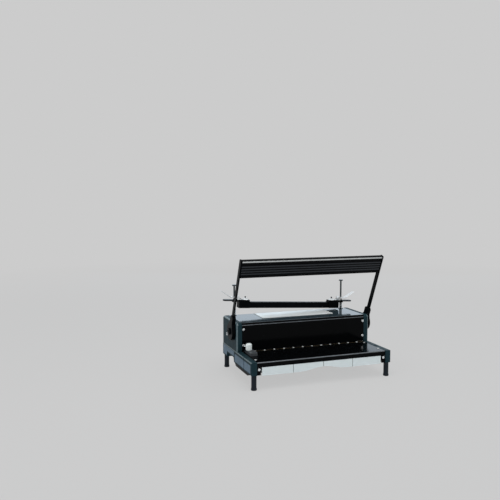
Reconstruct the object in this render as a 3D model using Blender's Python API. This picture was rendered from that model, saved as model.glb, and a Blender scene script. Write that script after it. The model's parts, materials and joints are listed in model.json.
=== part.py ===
"""Strip binding machine: a hand-pulled punch for twelve holes, with a press bar for the strip on its top.

X runs along the machine, Y from the operator's side to the back, Z up. The origin is on the table
surface that the machine stands on, under the middle of its casing.
"""

import math

import bmesh
import bpy
from mathutils import Matrix, Vector

# Overall sizes and clearances
half_width = 0.180
depth = 0.218
fit_gap = 0.0003
running_gap = 0.0006
overrun = 0.004
sheet = 0.0015
front_recess = 0.002
rear_recess = 0.002
front_y = -depth / 2
rear_y = depth / 2
table_front_y = front_y + front_recess
rear_face_y = rear_y - rear_recess

# Heights of the main steps, from the feet up
rail_bottom_z = 0.034
rail_height = 0.030
casing_height = 0.0696
rail_top_z = rail_bottom_z + rail_height
cover_top_z = rail_top_z + casing_height

# Side rails, legs and the bars under the rails
rail_thickness = 0.014
rail_edge = 0.002
notch_rear_inset = 0.033
notch_length = 0.058
notch_rise = 0.011
notch_slope = 0.004
leg_radius = 0.006
leg_inset = 0.0067
leg_tip_radius = 0.0067
leg_tip_height = 0.005
leg_tip_edge = 0.0008
leg_stud_radius = 0.003
leg_stud_height = 0.012
leg_side_inset = 0.0085
skid_inset = 0.002
skid_drop = 0.007
skid_front_inset = 0.023
skid_slope = 0.010
inlay_depth = 0.0012
inlay_bottom_inset = 0.0032
inlay_top_inset = 0.0072
inlay_front_inset = 0.0075
inlay_rear_inset = 0.0055
inlay_seam_inset = 0.0535
inlay_seam_width = 0.0016
notch_rear_y = rear_y - notch_rear_inset
notch_front_y = notch_rear_y - notch_length
leg_centre_x = half_width - leg_side_inset
skid_front_y = front_y + skid_front_inset
inlay_bottom_z = rail_bottom_z + inlay_bottom_inset
inlay_top_z = rail_top_z - inlay_top_inset
inlay_front_y = front_y + inlay_front_inset
inlay_seam_y = front_y + inlay_seam_inset
inlay_rear_y = notch_front_y - inlay_rear_inset

# Side covers and inner frame plates
housing_depth = 0.113
cover_corner = 0.008
cover_wall = 0.003
frame_thickness = 0.0024
frame_foot_inset = 0.002
flange_width = 0.015
flange_height = 0.060
inner_x = half_width - rail_thickness
sheet_x = inner_x - fit_gap
frame_x = sheet_x - fit_gap - frame_thickness
housing_front_y = rear_y - housing_depth
frame_bottom_z = rail_bottom_z + frame_foot_inset
frame_front_y = housing_front_y + sheet + fit_gap
frame_rear_y = rear_face_y - sheet - fit_gap

# Table, throat and chip drawer
table_drop = 0.0005
table_thickness = 0.002
table_rear_inset = 0.0030
fascia_height = 0.0115
tab_width = 0.0095
table_edge_roll = 0.002
strip_thickness = 0.0022
strip_left_inset = 0.043
strip_right_inset = 0.0175
mark_radius = 0.0018
mark_height = 0.0009
mark_rim_share = 0.6
mark_inset = 0.0012
hole_pitch = 0.0254
hole_row_offset = 0.0058
hole_end_margin = 0.004
drawer_side_inset = 0.0265
drawer_front_thickness = table_thickness
drawer_wall = 0.0018
drawer_front_drop = 0.0015
drawer_tray_height = 0.0078
drawer_top_gap = 0.003
drawer_rear_reach = 0.026
drawer_groove_width = 0.0010
drawer_groove_depth = 0.0007
finger_arch_half_width = 0.059
finger_arch_rise = 0.0078
compartments = 4
runner_width = 0.007
runner_height = 0.005
runner_lip = 0.0015
table_top_z = rail_top_z - table_drop
table_rear_y = housing_front_y - table_rear_inset
fascia_bottom_z = table_top_z - fascia_height
strip_left_x = strip_left_inset - half_width
strip_right_x = half_width - strip_right_inset
mark_y = housing_front_y - mark_inset
drawer_half_width = half_width - drawer_side_inset
drawer_bottom_z = rail_bottom_z - drawer_front_drop
drawer_top_z = fascia_bottom_z - drawer_top_gap
drawer_floor_z = drawer_top_z - drawer_tray_height
drawer_rear_y = housing_front_y + drawer_rear_reach

# Sheet covers
panel_gap = 0.0022
panel_height = 0.0633
panel_roll = 0.0026
panel_lip_depth = 0.0052
top_lip_height = 0.0038
top_roll = 0.003
rear_panel_foot_inset = 0.006
label_half_width = 0.098
label_front_inset = 0.038
label_rear_inset = 0.008
label_thickness = 0.0006
panel_bottom_z = table_top_z + panel_gap
panel_top_z = panel_bottom_z + panel_height
frame_top_z = panel_top_z - sheet - panel_roll
rear_panel_bottom_z = rail_bottom_z + rear_panel_foot_inset
label_front_y = housing_front_y + label_front_inset
label_rear_y = rear_y - label_rear_inset

# Punch unit
punch_inset = 0.013
pin_radius = 0.0016
pin_strip_width = 0.0056
pin_strip_height = 0.0024
die_height = 0.0135
die_inset = 0.0042
die_depth = 0.0178
throat_height = 0.0024
guide_height = 0.0121
beam_lift = 0.0140
beam_height = 0.0100
beam_inset = 0.0060
beam_depth = 0.0140
beam_end_inset = 0.020
post_inset = 0.025
post_radius = 0.004
post_reach = 0.022
punch_y = housing_front_y + punch_inset
die_front_y = housing_front_y + die_inset
die_bottom_z = table_top_z - die_height
guide_bottom_z = table_top_z + throat_height
guide_top_z = guide_bottom_z + guide_height
beam_bottom_z = guide_top_z + beam_lift
beam_front_y = housing_front_y + beam_inset
beam_half_length = half_width - beam_end_inset
post_x = half_width - post_inset
post_top_z = beam_bottom_z + beam_height + post_reach
hole_room = post_x - post_radius - hole_end_margin - hole_row_offset
hole_count = 1 + int(2 * hole_room / hole_pitch)

# Drive shaft, pinions and racks
pivot_inset = 0.027
pivot_rise = 0.018
shaft_radius = 0.006
shaft_end_reach = 0.0072
gear_pitch_radius = 0.008
gear_teeth = 16
gear_width = 0.012
gear_inset = 0.060
tooth_addendum = 0.0008
tooth_dedendum = 0.0011
tooth_root_half_share = 0.25
tooth_tip_half_share = 0.13
rack_back = 0.004
rack_teeth = 6
rack_first_tooth = -1
bush_radius = 0.0095
bush_flange_radius = 0.0125
bush_flange = 0.0015
cover_bore_radius = 0.0145
spring_inset = 0.040
spring_wire_radius = 0.0008
spring_coil_radius = 0.0075
spring_turns = 6
spring_turn_points = 10
spring_leg = 0.014
spring_pitch = 0.0027
coil_end_gap = 0.0007
pivot_y = housing_front_y + pivot_inset
pivot_z = beam_bottom_z + pivot_rise
shaft_end_x = half_width + shaft_end_reach
gear_x = half_width - gear_inset
spring_x = gear_x - spring_inset

# Handle
lean = math.radians(23.4)
hub_radius = 0.0215
hub_thickness = 0.0090
hub_neck_half_width = 0.0085
hub_neck_end = 0.044
hub_neck_round = 0.0040
hub_flare = math.radians(14)
hub_blend_share = 0.30
hub_cap_radius = 0.0085
hub_cap_height = 0.0034
arm_seat_depth = 0.0035
arm_thickness = 0.0036
arm_width = 0.0116
arm_start = 0.0135
grip_centre_radius = 0.1734
grip_height = 0.0458
grip_thickness = 0.0100
grip_corner = 0.0035
grip_front_corner = 0.0010
grip_groove_depth = 0.0012
grip_groove_mouth_half = 0.0022
grip_groove_floor_half = 0.0006
grip_groove_pitch = 0.0064
grip_groove_count = 5
grip_groove_first = -0.0158
trim_height = 0.0040
trim_centre = 0.0196
trim_depth = 0.0010
trim_proud = 0.0004
hub_inner_x = half_width + fit_gap
arm_inner_x = hub_inner_x + arm_seat_depth

# Press bar on its two rods
rod_inset = 0.027
rod_rear_inset = 0.012
rod_radius = 0.0023
rod_reach = 0.0596
rod_head_radius = 0.0054
rod_head_height = 0.0032
rod_slot_width = 0.0014
rod_slot_depth = 0.0013
rod_seat_depth = 0.016
rod_rail_drop = 0.0076
rod_rail_height = 0.014
rod_rail_width = 0.016
rod_rail_wall = 0.003
rod_foot_radius = 0.0062
rod_foot_height = 0.0010
bar_tilt = math.radians(3.3)
bar_gap = 0.0024
bar_height = 0.0155
bar_depth = 0.014
block_inset = 0.010
block_length = 0.030
block_height = 0.0176
block_depth = 0.020
block_edge = 0.001
plate_thickness = 0.003
plate_inset = 0.0005
plate_reach = 0.0305
plate_width = 0.016
plate_end_round = 0.006
collar_radius = 0.0040
left_collar_radius = 0.0044
collar_flange_radius = 0.0066
collar_flange_height = 0.0022
collar_height = 0.0072
collar_play = 0.0012
left_collar_play = 0.0010
press_spring_radius = 0.0037
press_spring_wire_radius = 0.0006
press_spring_turns = 8
press_spring_turn_points = 9
lever_pivot_inset = 0.008
lever_pivot_rise = 0.0065
lever_thickness = 0.0022
lever_width = 0.012
lever_root_length = 0.0195
lever_wing_length = 0.0305
lever_wing_rise = math.radians(31.6)
lever_pin_radius = 0.0016
lever_eye_radius = 0.0030
lever_slot_half_width = 0.0036
lever_slot_half_length = 0.0072
ear_thickness = 0.0018
ear_foot = 0.0018
rivet_share = 0.5
rod_x = half_width - rod_inset
rod_y = rear_y - rod_rear_inset
bar_bottom_z = cover_top_z + bar_gap
block_top_z = bar_bottom_z + block_height
block_outer_x = rod_x - block_inset
block_inner_x = block_outer_x - block_length
plate_inner_x = block_inner_x + plate_inset
plate_outer_x = rod_x + plate_reach
lever_pivot_x = rod_x - lever_pivot_inset
rod_top_z = block_top_z + rod_reach
rod_rail_top_z = cover_top_z - rod_rail_drop
rod_bottom_z = rod_rail_top_z - rod_seat_depth

# Paper side guide
guide_stop_inset = 0.0373
side_guide_length = 0.0185
guide_travel = 0.0039
side_guide_depth = 0.0435
side_guide_rear_gap = 0.0025
side_guide_height = 0.0072
side_guide_round = 0.006
knob_side_inset = 0.0130
knob_rear_inset = 0.0135
knob_radius = 0.0074
knob_height = 0.0165
knob_edge = 0.0020
knob_stem_radius = 0.003
pointer_length = 0.0116
pointer_radius = 0.0017
pointer_height = 0.0105
pointer_tip_share = 0.6
guide_stop_x = guide_stop_inset - half_width
side_guide_rear_y = table_rear_y - side_guide_rear_gap
side_guide_front_y = side_guide_rear_y - side_guide_depth
knob_x = guide_stop_x - knob_side_inset
knob_y = side_guide_rear_y - knob_rear_inset

# Roundness of turned pieces
fine_steps = 32
round_steps = 24
small_steps = 12
corner_steps = 3
along_share = 0.99
smooth_angle = math.radians(35)

side_pairs = (("left", -1), ("right", 1))


def clear_scene():
    for thing in list(bpy.data.objects):
        bpy.data.objects.remove(thing, do_unlink=True)


def finish(name, colour, roughness, metallic):
    look = bpy.data.materials.new(name)
    look.use_nodes = True
    shader = look.node_tree.nodes["Principled BSDF"]
    shader.inputs["Base Color"].default_value = (*colour, 1)
    shader.inputs["Roughness"].default_value = roughness
    shader.inputs["Metallic"].default_value = metallic
    look.diffuse_color = (*colour, 1)
    return look


def axis_empty(name, place):
    """An empty on a joint's axis, which carries the pieces that move with that joint."""
    empty = bpy.data.objects.new(name, None)
    empty.location = place
    bpy.context.scene.collection.objects.link(empty)
    return empty


def make(name, bm, look, carrier=None, smooth=False):
    """Turns a bmesh in world places into an object whose origin is its carrier's axis."""
    bmesh.ops.recalc_face_normals(bm, faces=bm.faces)
    if carrier is not None:
        bmesh.ops.translate(bm, verts=bm.verts, vec=-carrier.location)
    mesh = bpy.data.meshes.new(name)
    bm.to_mesh(mesh)
    bm.free()
    thing = bpy.data.objects.new(name, mesh)
    thing.parent = carrier
    if look is not None:
        mesh.materials.append(look)
    bpy.context.scene.collection.objects.link(thing)
    if smooth:
        mesh.shade_smooth()
        mesh.set_sharp_from_angle(angle=smooth_angle)
    return thing


def cut(thing, bm):
    """Takes the shape in bm, given in world places, out of the object."""
    cutter = make(thing.name + "_cutter", bm, None, carrier=thing.parent)
    cutter.hide_render = True
    cutter.display_type = "WIRE"
    trim = thing.modifiers.new("cut", "BOOLEAN")
    trim.operation = "DIFFERENCE"
    trim.solver = "EXACT"
    trim.object = cutter
    return thing


def unite(thing, bm):
    """Joins the shape in bm, given in world places, to the object as one body."""
    helper = make(thing.name + "_joined", bm, None, carrier=thing.parent)
    helper.hide_render = True
    helper.display_type = "WIRE"
    join = thing.modifiers.new("join", "BOOLEAN")
    join.operation = "UNION"
    join.solver = "EXACT"
    join.object = helper
    return thing


def box(bm, low, high):
    """A block between two opposite corners."""
    low, high = Vector(low), Vector(high)
    middle = (low + high) / 2
    size = high - low
    made = bmesh.ops.create_cube(bm, size=1, matrix=Matrix.Translation(middle) @ Matrix.Diagonal((*size, 1)))
    return made["verts"]


def soften(bm, verts, width, along=None):
    """Rounds the edges among these vertices, or only those that run along one axis."""
    chosen = set(verts)
    edges = []
    for edge in bm.edges:
        if edge.verts[0] in chosen and edge.verts[1] in chosen:
            run = (edge.verts[1].co - edge.verts[0].co).normalized()
            if along is None or abs(run[along]) > along_share:
                edges.append(edge)
    bmesh.ops.bevel(
        bm, geom=edges, offset=width, offset_type="OFFSET", segments=corner_steps, profile=0.5,
        affect="EDGES", material=-1, clamp_overlap=True,
    )


def prism(bm, outline, axis, low, high):
    """Extrudes a closed outline of pairs along an axis; the pairs are the other two axes in order."""
    others = [i for i in range(3) if i != axis]
    corners = []
    for pair in outline:
        point = [0, 0, 0]
        point[axis] = low
        point[others[0]], point[others[1]] = pair
        corners.append(bm.verts.new(point))
    face = bm.faces.new(corners)
    grown = bmesh.ops.extrude_face_region(bm, geom=[face])
    top = [item for item in grown["geom"] if isinstance(item, bmesh.types.BMVert)]
    step = [0, 0, 0]
    step[axis] = high - low
    bmesh.ops.translate(bm, verts=top, vec=step)
    return corners + top


def turned(bm, profile, centre, axis, steps):
    """Spins a profile of (radius, height) pairs about an axis through the centre."""
    rows = []
    for radius, height in profile:
        if radius == 0:
            rows.append([bm.verts.new((0, 0, height))])
            continue
        ring = []
        for i in range(steps):
            turn = math.tau * (i + 0.5) / steps
            ring.append(bm.verts.new((radius * math.cos(turn), radius * math.sin(turn), height)))
        rows.append(ring)
    closed = profile[0][0] != 0
    count = len(rows) if closed else len(rows) - 1
    for k in range(count):
        lower, upper = rows[k], rows[(k + 1) % len(rows)]
        for i in range(steps):
            j = (i + 1) % steps
            corners = [lower[i % len(lower)], lower[j % len(lower)], upper[j % len(upper)], upper[i % len(upper)]]
            bm.faces.new(list(dict.fromkeys(corners)))
    verts = [v for row in rows for v in row]
    turns = {"X": Matrix.Rotation(math.pi / 2, 4, "Y"), "Y": Matrix.Rotation(-math.pi / 2, 4, "X"), "Z": Matrix()}
    bmesh.ops.transform(bm, matrix=Matrix.Translation(centre) @ turns[axis], verts=verts)
    return verts


def rod(bm, radius, centre, axis, low, high, steps=round_steps):
    """A plain round bar between two heights along its axis, counted from the centre."""
    return turned(bm, [(0, low), (radius, low), (radius, high), (0, high)], centre, axis, steps)


def tube(bm, outer, inner, centre, axis, low, high, steps=round_steps):
    """A plain ring between two heights along its axis."""
    return turned(bm, [(outer, low), (outer, high), (inner, high), (inner, low)], centre, axis, steps)


def rounded(points, radii, steps=corner_steps):
    """Rounds each corner of an outline by its own radius."""
    out = []
    count = len(points)
    for i, (point, radius) in enumerate(zip(points, radii)):
        here = Vector(point)
        before = (Vector(points[i - 1]) - here).normalized()
        after = (Vector(points[(i + 1) % count]) - here).normalized()
        if radius == 0:
            out.append(tuple(here))
            continue
        opening = before.angle(after)
        reach = radius / math.tan(opening / 2)
        centre = here + (before + after).normalized() * (radius / math.sin(opening / 2))
        start = here + before * reach - centre
        end = here + after * reach - centre
        sweep = start.angle_signed(end)
        for k in range(steps + 1):
            turn = -sweep * k / steps
            x = start.x * math.cos(turn) - start.y * math.sin(turn)
            y = start.x * math.sin(turn) + start.y * math.cos(turn)
            out.append((centre.x + x, centre.y + y))
    return out


def spread(side, low, high):
    """The same stretch of X on the left or the right side, lowest first."""
    return (low, high) if side > 0 else (-high, -low)


def hole_places():
    first = hole_row_offset - hole_pitch * (hole_count - 1) / 2
    return [first + hole_pitch * i for i in range(hole_count)]


def turn_about_x(bm, verts, angle):
    """Turns pieces of the handle about the drive shaft, forwards for a positive angle."""
    bmesh.ops.rotate(bm, cent=(0, pivot_y, pivot_z), matrix=Matrix.Rotation(angle, 3, "X"), verts=verts)


def tilt_bar(bm):
    """Leans the press bar's pieces about the right rod, left end up."""
    place = (rod_x, rod_y, block_top_z + plate_thickness / 2)
    bmesh.ops.rotate(bm, cent=place, matrix=Matrix.Rotation(bar_tilt, 3, "Y"), verts=bm.verts)


def coil_path(radius, wire, turns, turn_points, low, high, centre, axis, lead=0):
    """The middle line of a spring: one helix with closed ends, and straight legs where lead is given."""
    flat_turns = 1
    count = turns * turn_points + 1
    heights = []
    for k in range(count):
        turn = k / turn_points
        flat = 2 * wire + coil_end_gap
        inner_rise = (high - low - 2 * wire - 2 * flat) / (turns - 2 * flat_turns)
        if turn <= flat_turns:
            rise = flat * turn
        elif turn >= turns - flat_turns:
            rise = high - low - 2 * wire - flat * (turns - turn)
        else:
            rise = flat + inner_rise * (turn - flat_turns)
        heights.append(rise)
    points = []
    for k, rise in enumerate(heights):
        turn = math.tau * k / turn_points
        points.append(Vector((radius * math.cos(turn), radius * math.sin(turn), low + wire + rise)))
    if lead:
        points.insert(0, points[0] + Vector((0, -lead, 0)))
        points.append(points[-1] + Vector((0, lead, 0)))
    if axis == "X":
        points = [Vector((p.z, p.x, p.y)) for p in points]
    return [p + Vector(centre) for p in points]


def wire_spring(name, look, wire, turn_points, path, carrier=None):
    """Round wire along a path, with filled ends."""
    near = least_gap(path, wire, turn_points)
    print(f"{name}: least gap between turns {near * 1000:.2f} mm")
    curve = bpy.data.curves.new(name, "CURVE")
    curve.dimensions = "3D"
    curve.bevel_depth = wire
    curve.bevel_resolution = 1
    curve.use_fill_caps = True
    origin = Vector() if carrier is None else carrier.location
    spline = curve.splines.new("POLY")
    spline.points.add(len(path) - 1)
    for slot, p in zip(spline.points, path):
        slot.co = (*(p - origin), 1)
    curve.materials.append(look)
    thing = bpy.data.objects.new(name, curve)
    thing.parent = carrier
    bpy.context.scene.collection.objects.link(thing)


def least_gap(path, wire, turn_points):
    """The least clear distance between stretches of wire at least half a turn apart."""
    apart = turn_points // 2 + 1
    near = math.inf
    for i in range(len(path) - 1):
        for j in range(i + apart, len(path) - 1):
            for share in (0, 0.5):
                a = path[i].lerp(path[i + 1], share)
                b = path[j].lerp(path[j + 1], share)
                near = min(near, (a - b).length - 2 * wire)
    return near


clear_scene()
casing_look = finish("casing_plastic", (0.028, 0.048, 0.060), 0.45, 0)
inlay_look = finish("rail_inlay_grey", (0.115, 0.162, 0.205), 0.5, 0)
gloss_look = finish("gloss_black_steel", (0.006, 0.008, 0.010), 0.15, 0)
black_look = finish("black_steel", (0.008, 0.009, 0.011), 0.35, 0)
leg_look = finish("leg_black", (0.014, 0.018, 0.024), 0.5, 0)
white_look = finish("drawer_white", (0.60, 0.68, 0.66), 0.4, 0)
knob_look = finish("knob_white", (0.72, 0.80, 0.79), 0.3, 0)
label_look = finish("blank_plate_white", (0.78, 0.82, 0.80), 0.4, 0)
zinc_look = finish("zinc_steel", (0.66, 0.67, 0.68), 0.3, 1)
chrome_look = finish("chrome_steel", (0.60, 0.62, 0.64), 0.15, 1)
tool_look = finish("tool_steel", (0.34, 0.34, 0.35), 0.35, 1)
brass_look = finish("bronze_strip", (0.22, 0.17, 0.09), 0.35, 1)
grip_look = finish("grip_plastic", (0.012, 0.015, 0.018), 0.45, 0)
trim_look = finish("trim_silver", (0.58, 0.61, 0.61), 0.3, 1)
guide_look = finish("guide_grey_plastic", (0.050, 0.055, 0.062), 0.4, 0)

handle_axis = axis_empty("handle_axis", (0, pivot_y, pivot_z))
beam_axis = axis_empty("beam_axis", (0, punch_y, beam_bottom_z))
collar_axis = axis_empty("collar_axis", (rod_x, rod_y, block_top_z))
level_axis = axis_empty("level_axis", (rod_x, rod_y, block_top_z + plate_thickness / 2))
drawer_axis = axis_empty("drawer_axis", (0, table_front_y, drawer_bottom_z))
guide_axis = axis_empty("side_guide_axis", (guide_stop_x, knob_y, table_top_z))
knob_axis = axis_empty("knob_axis", (knob_x, knob_y, table_top_z))


def rail_outline():
    notch_z = rail_bottom_z + notch_rise
    points = [
        (front_y, rail_bottom_z), (notch_front_y, rail_bottom_z), (notch_front_y + notch_slope, notch_z),
        (notch_rear_y - notch_slope, notch_z), (notch_rear_y, rail_bottom_z), (rear_y, rail_bottom_z),
        (rear_y, rail_top_z), (front_y, rail_top_z),
    ]
    return points


def build_rails():
    seam = inlay_seam_width / 2
    for name, side in side_pairs:
        low, high = spread(side, inner_x, half_width)
        bm = bmesh.new()
        verts = prism(bm, rail_outline(), 0, low, high)
        outer = high if side > 0 else low
        rim = [v for v in verts if abs(v.co.x - outer) < fit_gap]
        soften(bm, rim, rail_edge)
        rail = make(f"{name}_base_rail", bm, casing_look)
        pockets = bmesh.new()
        deep, wide = spread(side, half_width - inlay_depth, half_width + overrun)
        box(pockets, (deep, inlay_front_y, inlay_bottom_z), (wide, inlay_rear_y, inlay_top_z))
        for y in (front_y + leg_inset, rear_y - leg_inset):
            place = (side * leg_centre_x, y, rail_bottom_z)
            rod(pockets, leg_stud_radius + fit_gap, place, "Z", -overrun, leg_stud_height + fit_gap, small_steps)
        cut(rail, pockets)

        near, far = spread(side, half_width - inlay_depth + fit_gap, half_width - fit_gap)
        edge = Vector((0, fit_gap, fit_gap))
        start = Vector((near, inlay_front_y, inlay_bottom_z)) + edge
        end = Vector((far, inlay_rear_y, inlay_top_z)) - edge
        bm = bmesh.new()
        box(bm, start, end)
        panel = make(f"{name}_rail_panel", bm, inlay_look)
        groove = bmesh.new()
        floor, open_x = spread(side, half_width - inlay_depth / 2, half_width + overrun)
        box(
            groove,
            (floor, inlay_seam_y - seam, inlay_bottom_z - overrun),
            (open_x, inlay_seam_y + seam, inlay_top_z + overrun),
        )
        cut(panel, groove)


def build_skids():
    rear = notch_front_y
    top = rail_bottom_z - fit_gap
    bottom = rail_bottom_z - skid_drop
    points = [
        (skid_front_y, top), (skid_front_y + skid_slope, bottom),
        (rear - skid_slope, bottom), (rear, top),
    ]
    for name, side in side_pairs:
        bm = bmesh.new()
        prism(bm, points, 0, *spread(side, inner_x + fit_gap, half_width - skid_inset))
        make(f"{name}_under_rail", bm, black_look)


def build_legs():
    tip_rim = leg_tip_radius - leg_tip_edge
    top = rail_bottom_z - fit_gap
    profile = [
        (0, 0), (tip_rim, 0), (leg_tip_radius, leg_tip_edge), (leg_tip_radius, leg_tip_height),
        (leg_radius, leg_tip_height), (leg_radius, top), (leg_stud_radius, top),
        (leg_stud_radius, top + leg_stud_height), (0, top + leg_stud_height),
    ]
    for end, y in (("front", front_y + leg_inset), ("rear", rear_y - leg_inset)):
        for name, side in side_pairs:
            bm = bmesh.new()
            turned(bm, profile, (side * leg_centre_x, y, 0), "Z", round_steps)
            make(f"{end}_{name}_leg", bm, leg_look, smooth=True)


def build_side_covers():
    bottom = rail_top_z + fit_gap
    for name, side in side_pairs:
        low, high = spread(side, inner_x, half_width)
        points = [(housing_front_y, bottom), (rear_y, bottom), (rear_y, cover_top_z), (housing_front_y, cover_top_z)]
        bm = bmesh.new()
        shape = rounded(points, (0, 0, cover_corner / 2, cover_corner), steps=2 * corner_steps)
        verts = prism(bm, shape, 0, low, high)
        outer = high if side > 0 else low
        soften(bm, [v for v in verts if abs(v.co.x - outer) < fit_gap], rail_edge)
        cover = make(f"{name}_side_cover", bm, casing_look)
        hollow = bmesh.new()
        deep, wide = spread(side, inner_x - overrun, half_width - cover_wall)
        wall = cover_wall
        box(
            hollow,
            (deep, housing_front_y + wall, bottom + wall),
            (wide, rear_y - wall, cover_top_z - wall),
        )
        cut(cover, hollow)
        bore = bmesh.new()
        place = (side * half_width, pivot_y, pivot_z)
        rod(bore, cover_bore_radius, place, "X", -rail_thickness, rail_thickness, fine_steps)
        cut(cover, bore)


def build_frame_plates():
    flange_bottom = frame_top_z - flange_height
    for name, side in side_pairs:
        low, high = spread(side, frame_x, frame_x + frame_thickness)
        bm = bmesh.new()
        box(bm, (low, frame_front_y, frame_bottom_z), (high, frame_rear_y, frame_top_z))
        plate = make(f"{name}_frame_plate", bm, tool_look)
        near, far = spread(side, frame_x + frame_thickness - flange_width, frame_x + frame_thickness / 2)
        lip = bmesh.new()
        box(lip, (near, frame_front_y, flange_bottom), (far, frame_front_y + sheet, frame_top_z))
        unite(plate, lip)
        holes = bmesh.new()
        reach = flange_width
        place = (side * frame_x, pivot_y, pivot_z)
        rod(holes, bush_radius + fit_gap, place, "X", -reach, reach, round_steps)
        cut(plate, holes)


def build_sheet_covers():
    front = housing_front_y
    bm = bmesh.new()
    inside = front + sheet
    lip = front + panel_lip_depth
    points = [
        (front, panel_bottom_z), (inside, panel_bottom_z), (inside, panel_top_z - sheet),
        (lip, panel_top_z - sheet), (lip, panel_top_z), (front, panel_top_z),
    ]
    radii = (0, 0, panel_roll / 2, 0, 0, panel_roll)
    prism(bm, rounded(points, radii, steps=2 * corner_steps), 0, -sheet_x, sheet_x)
    make("front_panel", bm, gloss_look, smooth=True)

    lip_bottom = cover_top_z - top_lip_height
    inner_top = cover_top_z - sheet
    points = [
        (front, lip_bottom), (front + sheet, lip_bottom), (front + sheet, inner_top),
        (rear_face_y - sheet, inner_top), (rear_face_y - sheet, lip_bottom), (rear_face_y, lip_bottom),
        (rear_face_y, cover_top_z), (front, cover_top_z),
    ]
    radii = (0, 0, top_roll / 2, top_roll / 2, 0, 0, top_roll, top_roll)
    bm = bmesh.new()
    prism(bm, rounded(points, radii, steps=2 * corner_steps), 0, -sheet_x, sheet_x)
    top = make("top_cover", bm, gloss_look, smooth=True)
    holes = bmesh.new()
    for side in (-1, 1):
        rod(holes, rod_radius + fit_gap, (side * rod_x, rod_y, cover_top_z), "Z", -overrun, overrun, round_steps)
    cut(top, holes)

    bm = bmesh.new()
    rear_top = lip_bottom - fit_gap
    box(bm, (-sheet_x, rear_face_y - sheet, rear_panel_bottom_z), (sheet_x, rear_face_y, rear_top))
    make("rear_panel", bm, gloss_look)

    bm = bmesh.new()
    base = cover_top_z + fit_gap
    verts = box(
        bm, (-label_half_width, label_front_y, base), (label_half_width, label_rear_y, base + label_thickness)
    )
    soften(bm, verts, rail_edge, along=2)
    make("top_plate_blank", bm, label_look)

    bm = bmesh.new()
    bottom_edge = sheet_x - frame_thickness - 2 * fit_gap
    box(
        bm,
        (-bottom_edge, drawer_rear_y + fit_gap, frame_bottom_z),
        (bottom_edge, frame_rear_y, frame_bottom_z + sheet),
    )
    make("bottom_plate", bm, black_look)


def build_table():
    inside = table_front_y + table_thickness
    under = table_top_z - table_thickness
    points = [
        (table_front_y, fascia_bottom_z), (inside, fascia_bottom_z), (inside, under),
        (table_rear_y, under), (table_rear_y, table_top_z), (table_front_y, table_top_z),
    ]
    radii = (0, 0, table_edge_roll / 2, 0, 0, table_edge_roll)
    bm = bmesh.new()
    prism(bm, rounded(points, radii), 0, -sheet_x, sheet_x)
    table = make("table_plate", bm, gloss_look, smooth=True)
    tabs = bmesh.new()
    for side in (-1, 1):
        low, high = spread(side, sheet_x - tab_width, sheet_x)
        box(tabs, (low, table_front_y, rail_bottom_z), (high, inside, fascia_bottom_z + table_thickness))
    unite(table, tabs)
    holes = bmesh.new()
    reach = knob_stem_radius + running_gap
    low = knob_x - guide_travel - reach
    box(holes, (low, knob_y - reach, under - overrun), (knob_x + reach, knob_y + reach, table_top_z + overrun))
    cut(table, holes)

    rear = die_front_y - fit_gap
    bm = bmesh.new()
    box(bm, (strip_left_x, table_rear_y + fit_gap, table_top_z - strip_thickness), (strip_right_x, rear, table_top_z))
    strip = make("throat_strip", bm, brass_look)
    bm = bmesh.new()
    rim = mark_radius * mark_rim_share
    half = mark_height / 2
    profile = [(0, -half), (mark_radius, -half), (mark_radius, half), (rim, mark_height), (0, mark_height)]
    for x in hole_places():
        turned(bm, profile, (x, mark_y, table_top_z), "Z", small_steps)
    unite(strip, bm)


def build_punch_unit():
    span = frame_x - fit_gap
    rear = die_front_y + die_depth
    for name, low, high in (
        ("die_block", die_bottom_z, table_top_z - fit_gap),
        ("punch_guide", guide_bottom_z, guide_top_z),
    ):
        bm = bmesh.new()
        box(bm, (-span, die_front_y, low), (span, rear, high))
        bar = make(name, bm, tool_look)
        if name == "punch_guide":
            posts = bmesh.new()
            for side in (-1, 1):
                foot = (low + high) / 2
                rod(posts, post_radius, (side * post_x, punch_y, 0), "Z", foot, post_top_z, round_steps)
            unite(bar, posts)
        holes = bmesh.new()
        for x in hole_places():
            rod(holes, pin_radius + fit_gap, (x, punch_y, low), "Z", -overrun, high - low + overrun, small_steps)
        cut(bar, holes)

    pin_low = guide_bottom_z + fit_gap
    pin_high = beam_bottom_z - fit_gap
    places = hole_places()
    half = pin_strip_width / 2
    bm = bmesh.new()
    low = (places[0] - half, punch_y - half, pin_high - pin_strip_height)
    box(bm, low, (places[-1] + half, punch_y + half, pin_high))
    strip = make("punch_pins", bm, tool_look, carrier=beam_axis)
    pins = bmesh.new()
    for x in places:
        rod(pins, pin_radius, (x, punch_y, 0), "Z", pin_low, pin_high - pin_strip_height / 2, small_steps)
    unite(strip, pins)

    beam_top = beam_bottom_z + beam_height
    bm = bmesh.new()
    low = (-beam_half_length, beam_front_y, beam_bottom_z)
    verts = box(bm, low, (beam_half_length, beam_front_y + beam_depth, beam_top))
    soften(bm, verts, block_edge)
    beam = make("punch_beam", bm, tool_look, carrier=beam_axis)
    unite(beam, rack_shapes(beam_top - beam_height / 2))
    holes = bmesh.new()
    for side in (-1, 1):
        place = (side * post_x, punch_y, beam_bottom_z)
        rod(holes, post_radius + running_gap, place, "Z", -overrun, beam_height + overrun, round_steps)
    cut(beam, holes)


def gear_outline():
    """The pinion's outline about its own centre, one straight-sided tooth at a time."""
    root = gear_pitch_radius - tooth_dedendum
    tip = gear_pitch_radius + tooth_addendum
    points = []
    for i in range(gear_teeth):
        middle = i + 0.5
        for radius, share in (
            (root, -tooth_root_half_share), (tip, -tooth_tip_half_share),
            (tip, tooth_tip_half_share), (root, tooth_root_half_share),
        ):
            turn = math.tau * (middle + share) / gear_teeth
            points.append((radius * math.cos(turn), radius * math.sin(turn)))
    return points


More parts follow.
